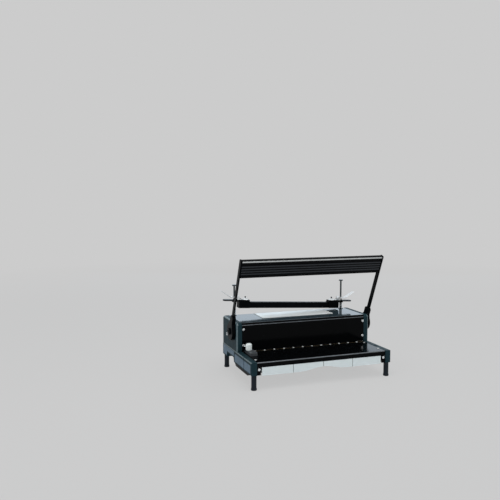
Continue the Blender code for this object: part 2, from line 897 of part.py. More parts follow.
def rack_shapes(base):
    """Two upright racks, from a height inside the beam to the top of their travel."""
    pitch = math.tau * gear_pitch_radius / gear_teeth
    line_y = pivot_y - gear_pitch_radius
    root_y = line_y - tooth_dedendum
    back_y = root_y - rack_back
    points = [(back_y, base), (root_y, base)]
    for i in range(rack_first_tooth, rack_first_tooth + rack_teeth):
        middle = pivot_z + pitch * i
        for y, share in (
            (root_y, -tooth_root_half_share), (line_y + tooth_addendum, -tooth_tip_half_share),
            (line_y + tooth_addendum, tooth_tip_half_share), (root_y, tooth_root_half_share),
        ):
            points.append((y, middle + pitch * share))
    top = pivot_z + pitch * (rack_first_tooth + rack_teeth)
    points += [(root_y, top), (back_y, top)]
    bm = bmesh.new()
    for side in (-1, 1):
        low, high = spread(side, gear_x - gear_width / 2, gear_x + gear_width / 2)
        prism(bm, points, 0, low, high)
    return bm


def build_drive():
    place = (0, pivot_y, pivot_z)
    bm = bmesh.new()
    rod(bm, shaft_radius, place, "X", -shaft_end_x, shaft_end_x, round_steps)
    make("drive_shaft", bm, zinc_look, carrier=handle_axis, smooth=True)

    outline = [(pivot_y + y, pivot_z + z) for y, z in gear_outline()]
    inner = frame_x - fit_gap
    bore = shaft_radius + fit_gap
    for name, side in side_pairs:
        low, high = spread(side, gear_x - gear_width / 2, gear_x + gear_width / 2)
        bm = bmesh.new()
        prism(bm, outline, 0, low, high)
        pinion = make(f"{name}_drive_pinion", bm, tool_look, carrier=handle_axis)
        hole = bmesh.new()
        rod(hole, bore, place, "X", low - overrun, high + overrun, round_steps)
        cut(pinion, hole)

        bm = bmesh.new()
        profile = [
            (bush_flange_radius, inner - bush_flange), (bush_flange_radius, inner),
            (bush_radius, inner), (bush_radius, half_width - cover_wall), (bore, half_width - cover_wall),
            (bore, inner - bush_flange),
        ]
        turned(bm, [(r, side * x) for r, x in profile], place, "X", round_steps)
        make(f"{name}_shaft_bush", bm, brass_look, smooth=True)

    reach = spring_turns * spring_pitch
    path = coil_path(
        spring_coil_radius, spring_wire_radius, spring_turns, spring_turn_points,
        spring_x - reach / 2, spring_x + reach / 2, place, "X", lead=spring_leg,
    )
    wire_spring("handle_return_spring", tool_look, spring_wire_radius, spring_turn_points, path)


def arm_stretch(bm, side, inner, thickness, half, start, end, corner):
    """A flat stretch of the handle between two distances from the shaft, upright until it is leaned."""
    low, high = spread(side, inner, inner + thickness)
    verts = box(bm, (low, pivot_y - half, pivot_z + start), (high, pivot_y + half, pivot_z + end))
    if corner:
        before = set(bm.verts) - set(verts)
        soften(bm, verts, corner, along=0)
        verts = [v for v in bm.verts if v not in before]
    return verts


def hub_outline():
    """The hub's outline seen along the shaft: a round boss that runs out into the neck for the arm."""
    half = hub_neck_half_width
    flare = math.asin(half / hub_radius) + hub_flare
    neck_low = hub_radius * math.cos(flare)
    blend = (hub_neck_end - neck_low) * hub_blend_share + neck_low
    points = [(half, hub_neck_end - hub_neck_round), (half - hub_neck_round, hub_neck_end)]
    points += [(-half + hub_neck_round, hub_neck_end), (-half, hub_neck_end - hub_neck_round), (-half, blend)]
    start = math.pi / 2 + flare
    sweep = math.tau - 2 * flare
    for i in range(fine_steps + 1):
        turn = start + sweep * i / fine_steps
        points.append((hub_radius * math.cos(turn), hub_radius * math.sin(turn)))
    points.append((half, blend))
    return points


def build_handle():
    grip_low = grip_centre_radius - grip_height / 2
    grip_high = grip_centre_radius + grip_height / 2
    for name, side in side_pairs:
        bm = bmesh.new()
        low, high = spread(side, hub_inner_x, hub_inner_x + hub_thickness)
        verts = prism(bm, [(pivot_y + y, pivot_z + z) for y, z in hub_outline()], 0, low, high)
        outer = high if side > 0 else low
        before = set(bm.verts) - set(verts)
        rim = [v for v in verts if abs(v.co.x - outer) < fit_gap]
        soften(bm, rim, block_edge)
        turn_about_x(bm, [v for v in bm.verts if v not in before], lean)
        hub = make(f"{name}_lever_hub", bm, black_look, carrier=handle_axis)
        slot = bmesh.new()
        half = arm_width / 2 + fit_gap
        inner = arm_inner_x - fit_gap
        wide = arm_thickness + 2 * fit_gap
        verts = arm_stretch(slot, side, inner, wide, half, arm_start - fit_gap, grip_high, 0)
        turn_about_x(slot, verts, lean)
        centre = (0, pivot_y, pivot_z)
        face = hub_inner_x + hub_thickness
        cap = bmesh.new()
        rim = hub_cap_radius - block_edge
        profile = [
            (0, face - block_edge), (hub_cap_radius, face - block_edge),
            (hub_cap_radius, face + hub_cap_height - block_edge),
            (rim, face + hub_cap_height), (0, face + hub_cap_height),
        ]
        turned(cap, [(r, side * x) for r, x in profile], centre, "X", round_steps)
        unite(hub, cap)
        rod(slot, shaft_radius + fit_gap, centre, "X", *spread(side, half_width - overrun, shaft_end_x + fit_gap))
        cut(hub, slot)

        bm = bmesh.new()
        verts = arm_stretch(bm, side, arm_inner_x, arm_thickness, arm_width / 2, arm_start, grip_high, rail_edge)
        turn_about_x(bm, verts, lean)
        make(f"{name}_handle_arm", bm, black_look, carrier=handle_axis)

    half = grip_thickness / 2
    reach = arm_inner_x - fit_gap
    corners = [(-half, grip_low), (half, grip_low), (half, grip_high), (-half, grip_high)]
    corner_radii = (grip_front_corner, grip_corner, grip_corner, grip_front_corner)
    outline = [(pivot_y + y, pivot_z + z) for y, z in rounded(corners, corner_radii)]
    bm = bmesh.new()
    verts = prism(bm, outline, 0, -reach, reach)
    turn_about_x(bm, verts, lean)
    grip = make("handle_grip", bm, grip_look, carrier=handle_axis)
    grooves = bmesh.new()
    face_y = pivot_y - half
    for i in range(grip_groove_count):
        middle = pivot_z + grip_centre_radius + grip_groove_first + grip_groove_pitch * i
        points = [
            (face_y - grip_groove_depth, middle - grip_groove_mouth_half),
            (face_y + grip_groove_depth, middle - grip_groove_floor_half),
            (face_y + grip_groove_depth, middle + grip_groove_floor_half),
            (face_y - grip_groove_depth, middle + grip_groove_mouth_half),
        ]
        prism(grooves, points, 0, -reach - overrun, reach + overrun)
    trim_low = pivot_z + grip_centre_radius + trim_centre - trim_height / 2
    trim_high = trim_low + trim_height
    box(grooves, (-reach - overrun, face_y - trim_depth, trim_low), (reach + overrun, face_y + trim_depth, trim_high))
    turn_about_x(grooves, grooves.verts, lean)
    cut(grip, grooves)

    bm = bmesh.new()
    low = (-reach + fit_gap, face_y - trim_proud, trim_low + fit_gap)
    verts = box(bm, low, (reach - fit_gap, face_y + trim_depth - fit_gap, trim_high - fit_gap))
    turn_about_x(bm, verts, lean)
    make("grip_trim", bm, trim_look, carrier=handle_axis)


def build_rods():
    rail_bottom = rod_rail_top_z - rod_rail_height
    span = frame_x - fit_gap
    half = rod_rail_width / 2
    wall = rod_rail_wall
    points = [
        (rod_y - half, rail_bottom), (rod_y - half + wall, rail_bottom),
        (rod_y - half + wall, rod_rail_top_z - wall), (rod_y + half - wall, rod_rail_top_z - wall),
        (rod_y + half - wall, rod_rail_top_z), (rod_y - half, rod_rail_top_z),
    ]
    bm = bmesh.new()
    prism(bm, points, 0, -span, span)
    rail = make("rear_cross_rail", bm, tool_look)
    holes = bmesh.new()
    for side in (-1, 1):
        place = (side * rod_x, rod_y, rod_rail_top_z)
        rod(holes, rod_radius + fit_gap, place, "Z", -overrun, overrun, round_steps)
    cut(rail, holes)

    neck = rod_top_z - rod_head_height
    bed = rod_top_z - rod_slot_depth
    slot = rod_slot_width
    foot = cover_top_z + fit_gap
    foot_top = foot + rod_foot_height
    profile = [
        (0, rod_bottom_z), (rod_radius, rod_bottom_z), (rod_radius, foot), (rod_foot_radius, foot),
        (rod_foot_radius, foot_top), (rod_radius, foot_top), (rod_radius, neck), (rod_head_radius, neck),
        (rod_head_radius, rod_top_z), (slot, rod_top_z), (slot, bed), (0, bed),
    ]
    low = foot_top + fit_gap
    high = block_top_z - collar_flange_height - 2 * fit_gap
    for name, side in side_pairs:
        bm = bmesh.new()
        turned(bm, profile, (side * rod_x, rod_y, 0), "Z", round_steps)
        make(f"{name}_press_rod", bm, chrome_look, smooth=True)
        path = coil_path(
            press_spring_radius, press_spring_wire_radius, press_spring_turns, press_spring_turn_points,
            low, high, (side * rod_x, rod_y, 0), "Z",
        )
        title = f"{name}_press_spring"
        wire_spring(title, chrome_look, press_spring_wire_radius, press_spring_turn_points, path)


def collar_profile(radius, bore):
    """A bush through the finger plate with its flange under it, by radius and height."""
    flange_top = block_top_z - fit_gap
    flange_low = flange_top - collar_flange_height
    top = flange_low + collar_height
    return [
        (collar_flange_radius, flange_low), (collar_flange_radius, flange_top),
        (radius, flange_top), (radius, top), (bore, top), (bore, flange_low),
    ]


def build_press_bar():
    bm = bmesh.new()
    turned(bm, collar_profile(collar_radius, rod_radius + fit_gap), (rod_x, rod_y, 0), "Z", round_steps)
    make("right_rod_collar", bm, black_look, carrier=collar_axis, smooth=True)

    bm = bmesh.new()
    reach = block_inner_x - fit_gap
    low = (-reach, rod_y - bar_depth / 2, bar_bottom_z)
    verts = box(bm, low, (reach, rod_y + bar_depth / 2, bar_bottom_z + bar_height))
    soften(bm, verts, block_edge, along=0)
    tilt_bar(bm)
    make("press_bar", bm, black_look, carrier=level_axis)

    plate_low = block_top_z + fit_gap
    plate_high = plate_low + plate_thickness
    pivot_height = plate_high + lever_pivot_rise
    for name, side in side_pairs:
        bm = bmesh.new()
        low, high = spread(side, block_inner_x, block_outer_x)
        verts = box(bm, (low, rod_y - block_depth / 2, bar_bottom_z), (high, rod_y + block_depth / 2, block_top_z))
        soften(bm, verts, block_edge)
        tilt_bar(bm)
        make(f"{name}_end_block", bm, black_look, carrier=level_axis)

        bm = bmesh.new()
        low, high = spread(side, plate_inner_x, plate_outer_x)
        half = plate_width / 2
        verts = box(bm, (low, rod_y - half, plate_low), (high, rod_y + half, plate_high))
        outer = high if side > 0 else low
        soften(bm, [v for v in verts if abs(v.co.x - outer) < fit_gap], plate_end_round, along=2)
        tilt_bar(bm)
        plate = make(f"{name}_finger_plate", bm, black_look, carrier=level_axis)
        place = (side * rod_x, rod_y, 0)
        hole_radius = collar_radius + collar_play
        if side < 0:
            hole_radius = rod_radius + left_collar_play
            bush = bmesh.new()
            turned(bush, collar_profile(left_collar_radius, rod_radius + fit_gap), place, "Z", round_steps)
            tilt_bar(bush)
            unite(plate, bush)
        hole = bmesh.new()
        rod(hole, hole_radius, place, "Z", bar_bottom_z, pivot_height + overrun, round_steps)
        tilt_bar(hole)
        cut(plate, hole)
        build_bracket(name, side, plate_high + fit_gap, pivot_height)
        build_lever(name, side, pivot_height)


def build_bracket(name, side, base, pivot_height):
    """Two upright ears on a foot, with the lever's pin riveted into them."""
    inner = lever_width / 2 + running_gap
    outer = inner + ear_thickness
    reach = lever_eye_radius
    centre = side * lever_pivot_x
    shape = [
        (-outer, base), (outer, base), (outer, pivot_height + reach), (inner, pivot_height + reach),
        (inner, base + ear_foot), (-inner, base + ear_foot), (-inner, pivot_height + reach),
        (-outer, pivot_height + reach),
    ]
    bm = bmesh.new()
    prism(bm, [(rod_y + y, z) for y, z in shape], 0, centre - reach, centre + reach)
    tilt_bar(bm)
    bracket = make(f"{name}_lever_bracket", bm, zinc_look, carrier=level_axis)
    pin = bmesh.new()
    rivet = inner + ear_thickness * rivet_share
    rod(pin, lever_pin_radius, (centre, rod_y, pivot_height), "Y", -rivet, rivet, small_steps)
    tilt_bar(pin)
    unite(bracket, pin)


def build_lever(name, side, pivot_height):
    """A bent strip on a pin: it lies flat round the rod, then rises outwards as a wing."""
    carrier = level_axis
    half = lever_thickness / 2
    knee = lever_root_length
    run = lever_wing_length * math.cos(lever_wing_rise)
    rise = lever_wing_length * math.sin(lever_wing_rise)
    side_x = half * math.sin(lever_wing_rise)
    side_z = half * math.cos(lever_wing_rise)
    bend = half * math.tan(lever_wing_rise / 2)
    points = [
        (0, -half), (knee + bend, -half), (knee + run + side_x, rise - side_z),
        (knee + run - side_x, rise + side_z), (knee - bend, half), (0, half),
    ]
    placed = [(side * (lever_pivot_x + x), pivot_height + z) for x, z in points]
    bm = bmesh.new()
    wide = lever_width / 2
    prism(bm, placed, 1, rod_y - wide, rod_y + wide)
    tilt_bar(bm)
    axis_point = Vector((side * lever_pivot_x, rod_y, pivot_height))
    turn = Matrix.Rotation(bar_tilt, 3, "Y")
    hinge = carrier.location + turn @ (axis_point - carrier.location)
    pin_axis = axis_empty(f"{name}_lever_axis", hinge)
    print(f"{name} lever pin at {tuple(round(v, 5) for v in hinge)}")
    lever = make(f"{name}_clutch_lever", bm, zinc_look, carrier=pin_axis)
    opening = bmesh.new()
    slot = lever_slot_half_width
    reach = lever_slot_half_length
    x_low, x_high = spread(side, rod_x - reach, rod_x + reach)
    box(opening, (x_low, rod_y - slot, pivot_height - overrun), (x_high, rod_y + slot, pivot_height + overrun))
    tilt_bar(opening)
    cut(lever, opening)
    tube_bm = bmesh.new()
    tube(tube_bm, lever_eye_radius, lever_pin_radius + fit_gap, axis_point, "Y", -wide, wide, small_steps)
    tilt_bar(tube_bm)
    unite(lever, tube_bm)
    bore = bmesh.new()
    rod(bore, lever_pin_radius + fit_gap, axis_point, "Y", -wide - overrun, wide + overrun, small_steps)
    tilt_bar(bore)
    cut(lever, bore)


def build_drawer():
    rear = drawer_rear_y - drawer_wall
    half = drawer_half_width
    back_of_front = table_front_y + drawer_front_thickness
    floor = drawer_floor_z
    bm = bmesh.new()
    tray_low = (-half, back_of_front - fit_gap, floor)
    box(bm, tray_low, (half, drawer_rear_y - drawer_wall, drawer_top_z))
    tray = make("chip_drawer", bm, white_look, carrier=drawer_axis)

    hollows = bmesh.new()
    pitch = 2 * half / compartments
    for i in range(compartments):
        low = -half + pitch * i + (drawer_wall if i == 0 else drawer_wall / 2)
        high = -half + pitch * (i + 1) - (drawer_wall if i == compartments - 1 else drawer_wall / 2)
        box(hollows, (low, back_of_front, floor + drawer_wall), (high, rear - drawer_wall, drawer_top_z + overrun))
    cut(tray, hollows)

    face = bmesh.new()
    drop = drawer_bottom_z
    points = [(-half, drop)]
    arch = finger_arch_half_width
    steps = 2 * corner_steps + 2
    for i in range(steps + 1):
        share = i / steps
        x = -arch + 2 * arch * share
        points.append((x, drop + finger_arch_rise * (1 - math.cos(math.tau * share)) / 2))
    points += [(half, drop), (half, fascia_bottom_z - fit_gap), (-half, fascia_bottom_z - fit_gap)]
    prism(face, points, 1, table_front_y, back_of_front)
    unite(tray, face)
    grooves = bmesh.new()
    wide = drawer_groove_width / 2
    for i in range(1, compartments):
        x = -half + pitch * i
        low = (x - wide, table_front_y - overrun, drop - overrun)
        box(grooves, low, (x + wide, table_front_y + drawer_groove_depth, fascia_bottom_z + overrun))
    cut(tray, grooves)

    top = drawer_floor_z - running_gap
    bottom = top - runner_lip
    rail_side = drawer_half_width + running_gap
    shelf = drawer_half_width - runner_width / 2
    far = frame_x - fit_gap
    for name, side in side_pairs:
        shape = [
            (shelf, bottom), (far, bottom), (far, top + runner_height),
            (rail_side, top + runner_height), (rail_side, top), (shelf, top),
        ]
        bm = bmesh.new()
        prism(bm, [(side * x, z) for x, z in shape], 1, back_of_front + fit_gap, drawer_rear_y)
        make(f"{name}_drawer_runner", bm, black_look)


def build_side_guide():
    low = guide_stop_x - side_guide_length
    base = table_top_z + fit_gap
    top = base + side_guide_height
    bm = bmesh.new()
    verts = box(bm, (low, side_guide_front_y, base), (guide_stop_x, side_guide_rear_y, top))
    rim = [v for v in verts if v.co.x > low + fit_gap]
    soften(bm, rim, side_guide_round, along=2)
    block = make("side_guide", bm, guide_look, carrier=guide_axis)
    hole = bmesh.new()
    rod(hole, knob_stem_radius + fit_gap, (knob_x, knob_y, base), "Z", -overrun, side_guide_height + overrun)
    cut(block, hole)

    foot = top + fit_gap
    head = foot + knob_height
    stem = table_top_z - table_thickness - overrun
    rim = knob_radius - knob_edge
    profile = [
        (0, stem), (knob_stem_radius, stem), (knob_stem_radius, foot), (rim, foot),
        (knob_radius, foot + knob_edge), (knob_radius, head - knob_edge), (rim, head), (0, head),
    ]
    bm = bmesh.new()
    turned(bm, profile, (knob_x, knob_y, 0), "Z", round_steps)
    knob = make("guide_knob", bm, knob_look, carrier=knob_axis, smooth=True)
    nub = bmesh.new()
    height = foot + pointer_height
    made = rod(nub, pointer_radius, (knob_x, knob_y, height), "X", -pointer_length, -knob_stem_radius, small_steps)
    point = [v for v in made if abs(v.co.x - (knob_x - pointer_length)) < fit_gap]
    bmesh.ops.scale(
        nub, vec=(1, pointer_tip_share, pointer_tip_share), verts=point, space=Matrix.Translation((-knob_x, -knob_y, -height))
    )
    unite(knob, nub)


build_rails()
build_skids()
build_legs()
build_side_covers()
build_frame_plates()
build_sheet_covers()
build_table()
build_punch_unit()
build_drive()
build_handle()
build_rods()
build_press_bar()
build_drawer()
build_side_guide()
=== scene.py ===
# %% [markdown]
# # A strip binding machine
# This machine punches a row of round holes along the edge of a stack of paper, and then closes a plastic
# strip through them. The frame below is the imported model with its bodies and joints. Everything in this
# lesson is about looks: rounded edges, fasteners, springs and finishes on top of that fixed frame.

import json
import math

import bmesh
import bpy
from mathutils import Matrix, Vector


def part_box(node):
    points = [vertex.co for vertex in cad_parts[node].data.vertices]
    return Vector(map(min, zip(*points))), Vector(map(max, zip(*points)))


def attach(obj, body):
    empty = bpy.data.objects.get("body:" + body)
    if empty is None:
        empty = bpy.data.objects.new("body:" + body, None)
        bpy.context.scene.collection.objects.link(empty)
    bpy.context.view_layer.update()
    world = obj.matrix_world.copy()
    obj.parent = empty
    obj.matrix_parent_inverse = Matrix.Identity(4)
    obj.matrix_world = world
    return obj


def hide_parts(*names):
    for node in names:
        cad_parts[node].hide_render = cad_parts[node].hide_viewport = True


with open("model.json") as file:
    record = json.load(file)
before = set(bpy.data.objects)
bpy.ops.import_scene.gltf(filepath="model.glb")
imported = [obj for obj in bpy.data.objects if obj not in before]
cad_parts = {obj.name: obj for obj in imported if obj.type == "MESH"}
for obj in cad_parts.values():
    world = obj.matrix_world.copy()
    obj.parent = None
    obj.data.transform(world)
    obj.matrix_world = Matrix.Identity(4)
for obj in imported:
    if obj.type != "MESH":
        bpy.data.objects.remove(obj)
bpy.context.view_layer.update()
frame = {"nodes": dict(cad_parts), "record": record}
scene = bpy.context.scene
scene.view_settings.view_transform = "Standard"
print("nodes:", len(frame["nodes"]))

# %% [markdown]
# ## Where things are
# Every place is read from the frame, so a screw sits on its own sheet and a nut on its own plate. Each
# node's body is read too, because a new piece has to ride on the body that carries it.

# %% Places read from the frame
body_of = {}
for body, members in frame["record"]["behaviour"]["bodies"].items():
    for member in members:
        body_of[member] = body

rail_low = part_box("left_base_rail")[0]
panel_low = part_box("front_panel")[0]
rear_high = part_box("rear_panel")[1]
table_low, table_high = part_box("table_plate")
shaft_low, shaft_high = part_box("drive_shaft")
collar_low, collar_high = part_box("right_rod_collar")
shaft_middle = (shaft_low + shaft_high) / 2
rod_place = (collar_low + collar_high) / 2
half_width = -rail_low.x
sides = (("left", -1), ("right", 1))
print("casing half width:", round(half_width, 4), "shaft at:", [round(v, 4) for v in shaft_middle])

# %% [markdown]
# ## The camera
# The picture was taken from the left of the operator's seat, a little above the machine and from rather far
# away, so its lines stay almost parallel. The place and the two angles were found by fitting the feet,
# the rails and the casing to the picture, with the lens axis through the middle of the frame.

# %% Camera
camera_place = (-0.60616, -1.30335, 0.41337)
camera_turn = math.radians(19.504)
camera_dip = math.radians(4.340)
camera_data = bpy.data.cameras.new("camera")
camera_data.lens = 41.768
camera_data.sensor_width = 36
camera_data.clip_start = 0.01
camera = bpy.data.objects.new("camera", camera_data)
camera.location = camera_place
camera.rotation_euler = (math.pi / 2 - camera_dip, 0, -camera_turn)
scene.collection.objects.link(camera)
scene.camera = camera
print("lens:", camera_data.lens, "mm")

# %% [markdown]
# ## Backdrop and lamps
# The picture has one even pale grey all round the machine. The world shows that grey to the camera and to
# mirrors by Light Path, and lights everything else like a large white tent. Four soft boxes are added
# later, because black gloss is drawn by the bright shapes that it mirrors.

# %% World
backdrop_grey = 0.604
tent_level = 0.56
tent_colour = (0.97, 0.985, 1.0)


def add(tree, kind, x=0, y=0, **settings):
    """Adds a shader node at a place in the node editor, with its settings."""
    node = tree.nodes.new(kind)
    node.location = (x, y)
    for name, value in settings.items():
        setattr(node, name, value)
    return node


def shown_directly(tree, x, y):
    """One for a ray from the camera, or one that a mirror or clear plastic sends on."""
    path = add(tree, "ShaderNodeLightPath", x, y)
    first = add(tree, "ShaderNodeMath", x + 200, y, operation="MAXIMUM")
    second = add(tree, "ShaderNodeMath", x + 400, y, operation="MAXIMUM")
    tree.links.new(path.outputs["Is Camera Ray"], first.inputs[0])
    tree.links.new(path.outputs["Is Glossy Ray"], first.inputs[1])
    tree.links.new(first.outputs[0], second.inputs[0])
    tree.links.new(path.outputs["Is Transmission Ray"], second.inputs[1])
    return second.outputs[0]


world = bpy.data.worlds.new("studio")
scene.world = world
world.use_nodes = True
tree = world.node_tree
tree.nodes.clear()
seen = add(tree, "ShaderNodeBackground", 0, 100)
seen.inputs["Color"].default_value = (backdrop_grey, backdrop_grey, backdrop_grey, 1)
lit = add(tree, "ShaderNodeBackground", 0, -100)
lit.inputs["Color"].default_value = (*tent_colour, 1)
lit.inputs["Strength"].default_value = tent_level
choose = add(tree, "ShaderNodeMixShader", 200, 0)
out = add(tree, "ShaderNodeOutputWorld", 400, 0)
tree.links.new(shown_directly(tree, -700, 300), choose.inputs[0])
tree.links.new(lit.outputs[0], choose.inputs[1])
tree.links.new(seen.outputs[0], choose.inputs[2])
tree.links.new(choose.outputs[0], out.inputs[0])
print("world:", world.name, "with a tent of strength", tent_level)

# %% [markdown]
# ### Floor
# The floor takes a soft shadow near the machine and runs out into the same grey as the world, so no
# horizon shows. Part of its brightness is plain paper under the lamps, and the rest is the grey itself.

# %% Floor
floor_half = 30
floor_gap = 0.0002
paper_white = 0.60
fade_start = 0.7
fade_end = 3.0
grey_share_near = 0.80

floor_mesh = bpy.data.meshes.new("floor")
bm = bmesh.new()
bmesh.ops.create_grid(bm, x_segments=1, y_segments=1, size=floor_half)
bmesh.ops.translate(bm, verts=bm.verts, vec=(0, 0, -floor_gap))
bm.to_mesh(floor_mesh)
bm.free()
floor = bpy.data.objects.new("floor", floor_mesh)
scene.collection.objects.link(floor)

floor_look = bpy.data.materials.new("floor_paper")
floor_look.use_nodes = True
tree = floor_look.node_tree
paper = tree.nodes["Principled BSDF"]
paper.inputs["Base Color"].default_value = (paper_white, paper_white, paper_white, 1)
paper.inputs["Roughness"].default_value = 0.9
paper.inputs["Specular IOR Level"].default_value = 0.1
grey = add(tree, "ShaderNodeEmission", 0, -400)
grey.inputs["Color"].default_value = (backdrop_grey, backdrop_grey, backdrop_grey, 1)
place = add(tree, "ShaderNodeTexCoord", -900, 200)
away = add(tree, "ShaderNodeVectorMath", -700, 200, operation="LENGTH")
fade = add(tree, "ShaderNodeMapRange", -500, 200)
fade.inputs["From Min"].default_value = fade_start
fade.inputs["From Max"].default_value = fade_end
fade.inputs["To Min"].default_value = grey_share_near
fade.inputs["To Max"].default_value = 1.0
share = add(tree, "ShaderNodeMath", 0, 300, operation="MULTIPLY")
blend = add(tree, "ShaderNodeMixShader", 400, 0)
tree.links.new(place.outputs["Object"], away.inputs[0])
tree.links.new(away.outputs["Value"], fade.inputs["Value"])
tree.links.new(fade.outputs["Result"], share.inputs[0])
tree.links.new(shown_directly(tree, -900, 600), share.inputs[1])
tree.links.new(share.outputs[0], blend.inputs[0])
tree.links.new(paper.outputs[0], blend.inputs[1])
tree.links.new(grey.outputs[0], blend.inputs[2])
tree.links.new(blend.outputs[0], tree.nodes["Material Output"].inputs["Surface"])
floor_mesh.materials.append(floor_look)
print("floor:", 2 * floor_half, "m wide,", floor_gap * 1000, "mm under the feet")

# %% [markdown]
# ### Soft boxes
# One large lamp hangs above and one stands on each side. A wide bluish one stands low behind the machine.
# The camera sees the top cover so flatly that the cover mirrors what is behind it, and in the picture that
# is a cool, bright field.

# %% Soft boxes
machine_middle = Vector((0, 0, 0.13))


def soft_box(name, place, width, height, power, colour=(1, 1, 1)):
    """A rectangular lamp that faces the machine's middle."""
    lamp = bpy.data.lights.new(name, "AREA")
    lamp.shape = "RECTANGLE"
    lamp.size = width
    lamp.size_y = height
    lamp.energy = power
    lamp.color = colour
    box = bpy.data.objects.new(name, lamp)
    box.location = place
    box.rotation_euler = (machine_middle - Vector(place)).to_track_quat("-Z", "Y").to_euler()
    scene.collection.objects.link(box)


soft_box("top_lamp", (-0.1, -0.35, 1.7), 1.3, 1.0, 11)
soft_box("left_lamp", (-1.6, -0.9, 1.0), 0.8, 0.8, 5)
soft_box("right_lamp", (1.7, -0.6, 0.9), 0.8, 0.8, 3, (0.93, 0.97, 1.0))
soft_box("back_lamp", (0.75, 1.9, 0.62), 2.6, 0.9, 5, (0.58, 0.79, 1.0))

# %% [markdown]
# ## What a finish is made of
# A finish is more than a colour. Each one below is a Principled shader whose base colour drifts a little
# over the piece, whose gloss is uneven, and whose surface has a fine relief. The patterns read Object
# coordinates in metres, so a scale of 1000 gives detail of about a millimetre.

# %% Parts of a finish
noise_low, noise_high = 0.3, 0.7
noise_roughness = 0.55


def begin(name, colour, metallic=0.0, specular=0.5):
    """A new material with its node tree and its shader."""
    look = bpy.data.materials.new(name)
    look.use_nodes = True
    tree = look.node_tree
    shader = tree.nodes["Principled BSDF"]
    shader.location = (400, 0)
    shader.inputs["Base Color"].default_value = (*colour, 1)
    shader.inputs["Metallic"].default_value = metallic
    shader.inputs["Specular IOR Level"].default_value = specular
    return look, tree, shader


def pattern(tree, scale, detail=3.0, stretch=(1, 1, 1), y=0):
    """A noise over the piece, drawn out long along an axis whose stretch is small."""
    place = add(tree, "ShaderNodeTexCoord", -1200, y)
    mapping = add(tree, "ShaderNodeMapping", -1000, y)
    mapping.inputs["Scale"].default_value = stretch
    noise = add(tree, "ShaderNodeTexNoise", -800, y)
    noise.inputs["Scale"].default_value = scale
    noise.inputs["Detail"].default_value = detail
    noise.inputs["Roughness"].default_value = noise_roughness
    tree.links.new(place.outputs["Object"], mapping.inputs["Vector"])
    tree.links.new(mapping.outputs["Vector"], noise.inputs["Vector"])
    return noise.outputs["Fac"]


def colours(tree, shader, factor, low, high, start=0.35, end=0.65):
    """Lets the base colour drift between two colours."""
    ramp = add(tree, "ShaderNodeValToRGB", -400, 300)
    ramp.color_ramp.elements[0].position = start
    ramp.color_ramp.elements[0].color = (*low, 1)
    ramp.color_ramp.elements[1].position = end
    ramp.color_ramp.elements[1].color = (*high, 1)
    tree.links.new(factor, ramp.inputs["Fac"])
    tree.links.new(ramp.outputs["Color"], shader.inputs["Base Color"])


def gloss(tree, shader, factor, low, high):
    """Lets the roughness vary between two values."""
    span = add(tree, "ShaderNodeMapRange", -400, 0)
    span.inputs["From Min"].default_value = noise_low
    span.inputs["From Max"].default_value = noise_high
    span.inputs["To Min"].default_value = low
    span.inputs["To Max"].default_value = high
    tree.links.new(factor, span.inputs["Value"])
    tree.links.new(span.outputs["Result"], shader.inputs["Roughness"])


def relief(tree, shader, factor, strength, height):
    """Raises the surface a little where the pattern is bright."""
    bump = add(tree, "ShaderNodeBump", 0, -400)
    bump.inputs["Strength"].default_value = strength
    bump.inputs["Distance"].default_value = height
    tree.links.new(factor, bump.inputs["Height"])
    tree.links.new(bump.outputs["Normal"], shader.inputs["Normal"])


def shade(colour, factor):
    """The same colour, lighter or darker."""
    return tuple(min(1.0, c * factor) for c in colour)


# %% [markdown]
# ### Moulded plastic and sprayed sheet
# The rails, side covers, legs, grip, drawer and knob are moulded. Their moulds have a fine spark texture,
# which takes the shine off. The sheets are sprayed and polished, the top cover in a very dark blue and the
# others in black. Such a coat is a little wavy and gathers dust and rubbed spots.

# %% Moulded finish
mould_drift_scale = 22
mould_smear_scale = 110
mould_grain_depth = 0.00005


def moulded(name, colour, rough, grain=1400, drift=0.12, specular=0.5):
    """Plastic from a textured mould: slow drift of colour, smeared gloss and a fine grain."""
    look, tree, shader = begin(name, colour, specular=specular)
    patches = pattern(tree, mould_drift_scale, 3, y=300)
    colours(tree, shader, patches, shade(colour, 1 - drift), shade(colour, 1 + drift))
    gloss(tree, shader, pattern(tree, mould_smear_scale, 5), rough - 0.06, rough + 0.08)
    relief(tree, shader, pattern(tree, grain, 2, y=-400), 0.4, mould_grain_depth)
    return look


casing_look = moulded("casing_blue_grey", (0.015, 0.036, 0.045), 0.38, specular=0.03)
# Lighter, shinier casing finish for roundings that face up or forward: a painted highlight.
casing_painted_highlight_look = moulded("casing_painted_highlight", (0.078, 0.130, 0.148), 0.24, specular=0.9)
inlay_look = moulded(
    "inlay_grey", (0.105, 0.165, 0.225), 0.48, grain=900, specular=0.2
)
leg_look = moulded("leg_dark", (0.012, 0.017, 0.023), 0.45, specular=0.15)
grip_look = moulded(
    "grip_black", (0.0018, 0.0022, 0.0030), 0.36, grain=1000, specular=0.06
)
# Greyer, shinier black for the ribs of the grip: a painted highlight.
rib_painted_highlight_look = moulded(
    "grip_rib_painted_highlight", (0.019, 0.023, 0.029), 0.36, grain=1000, specular=0.3
)
guide_look = moulded("guide_grey", (0.062, 0.068, 0.076), 0.42, specular=0.4)
drawer_look = moulded("drawer_pale", (0.800, 0.885, 0.900), 0.40, drift=0.03)
knob_look = moulded("knob_white", (0.860, 0.930, 0.920), 0.28, drift=0.03)

# %% Sprayed finish
dust_scale = 60
dust_lift = 1.8
rubbed_scale = 35
wave_depth = 0.00002


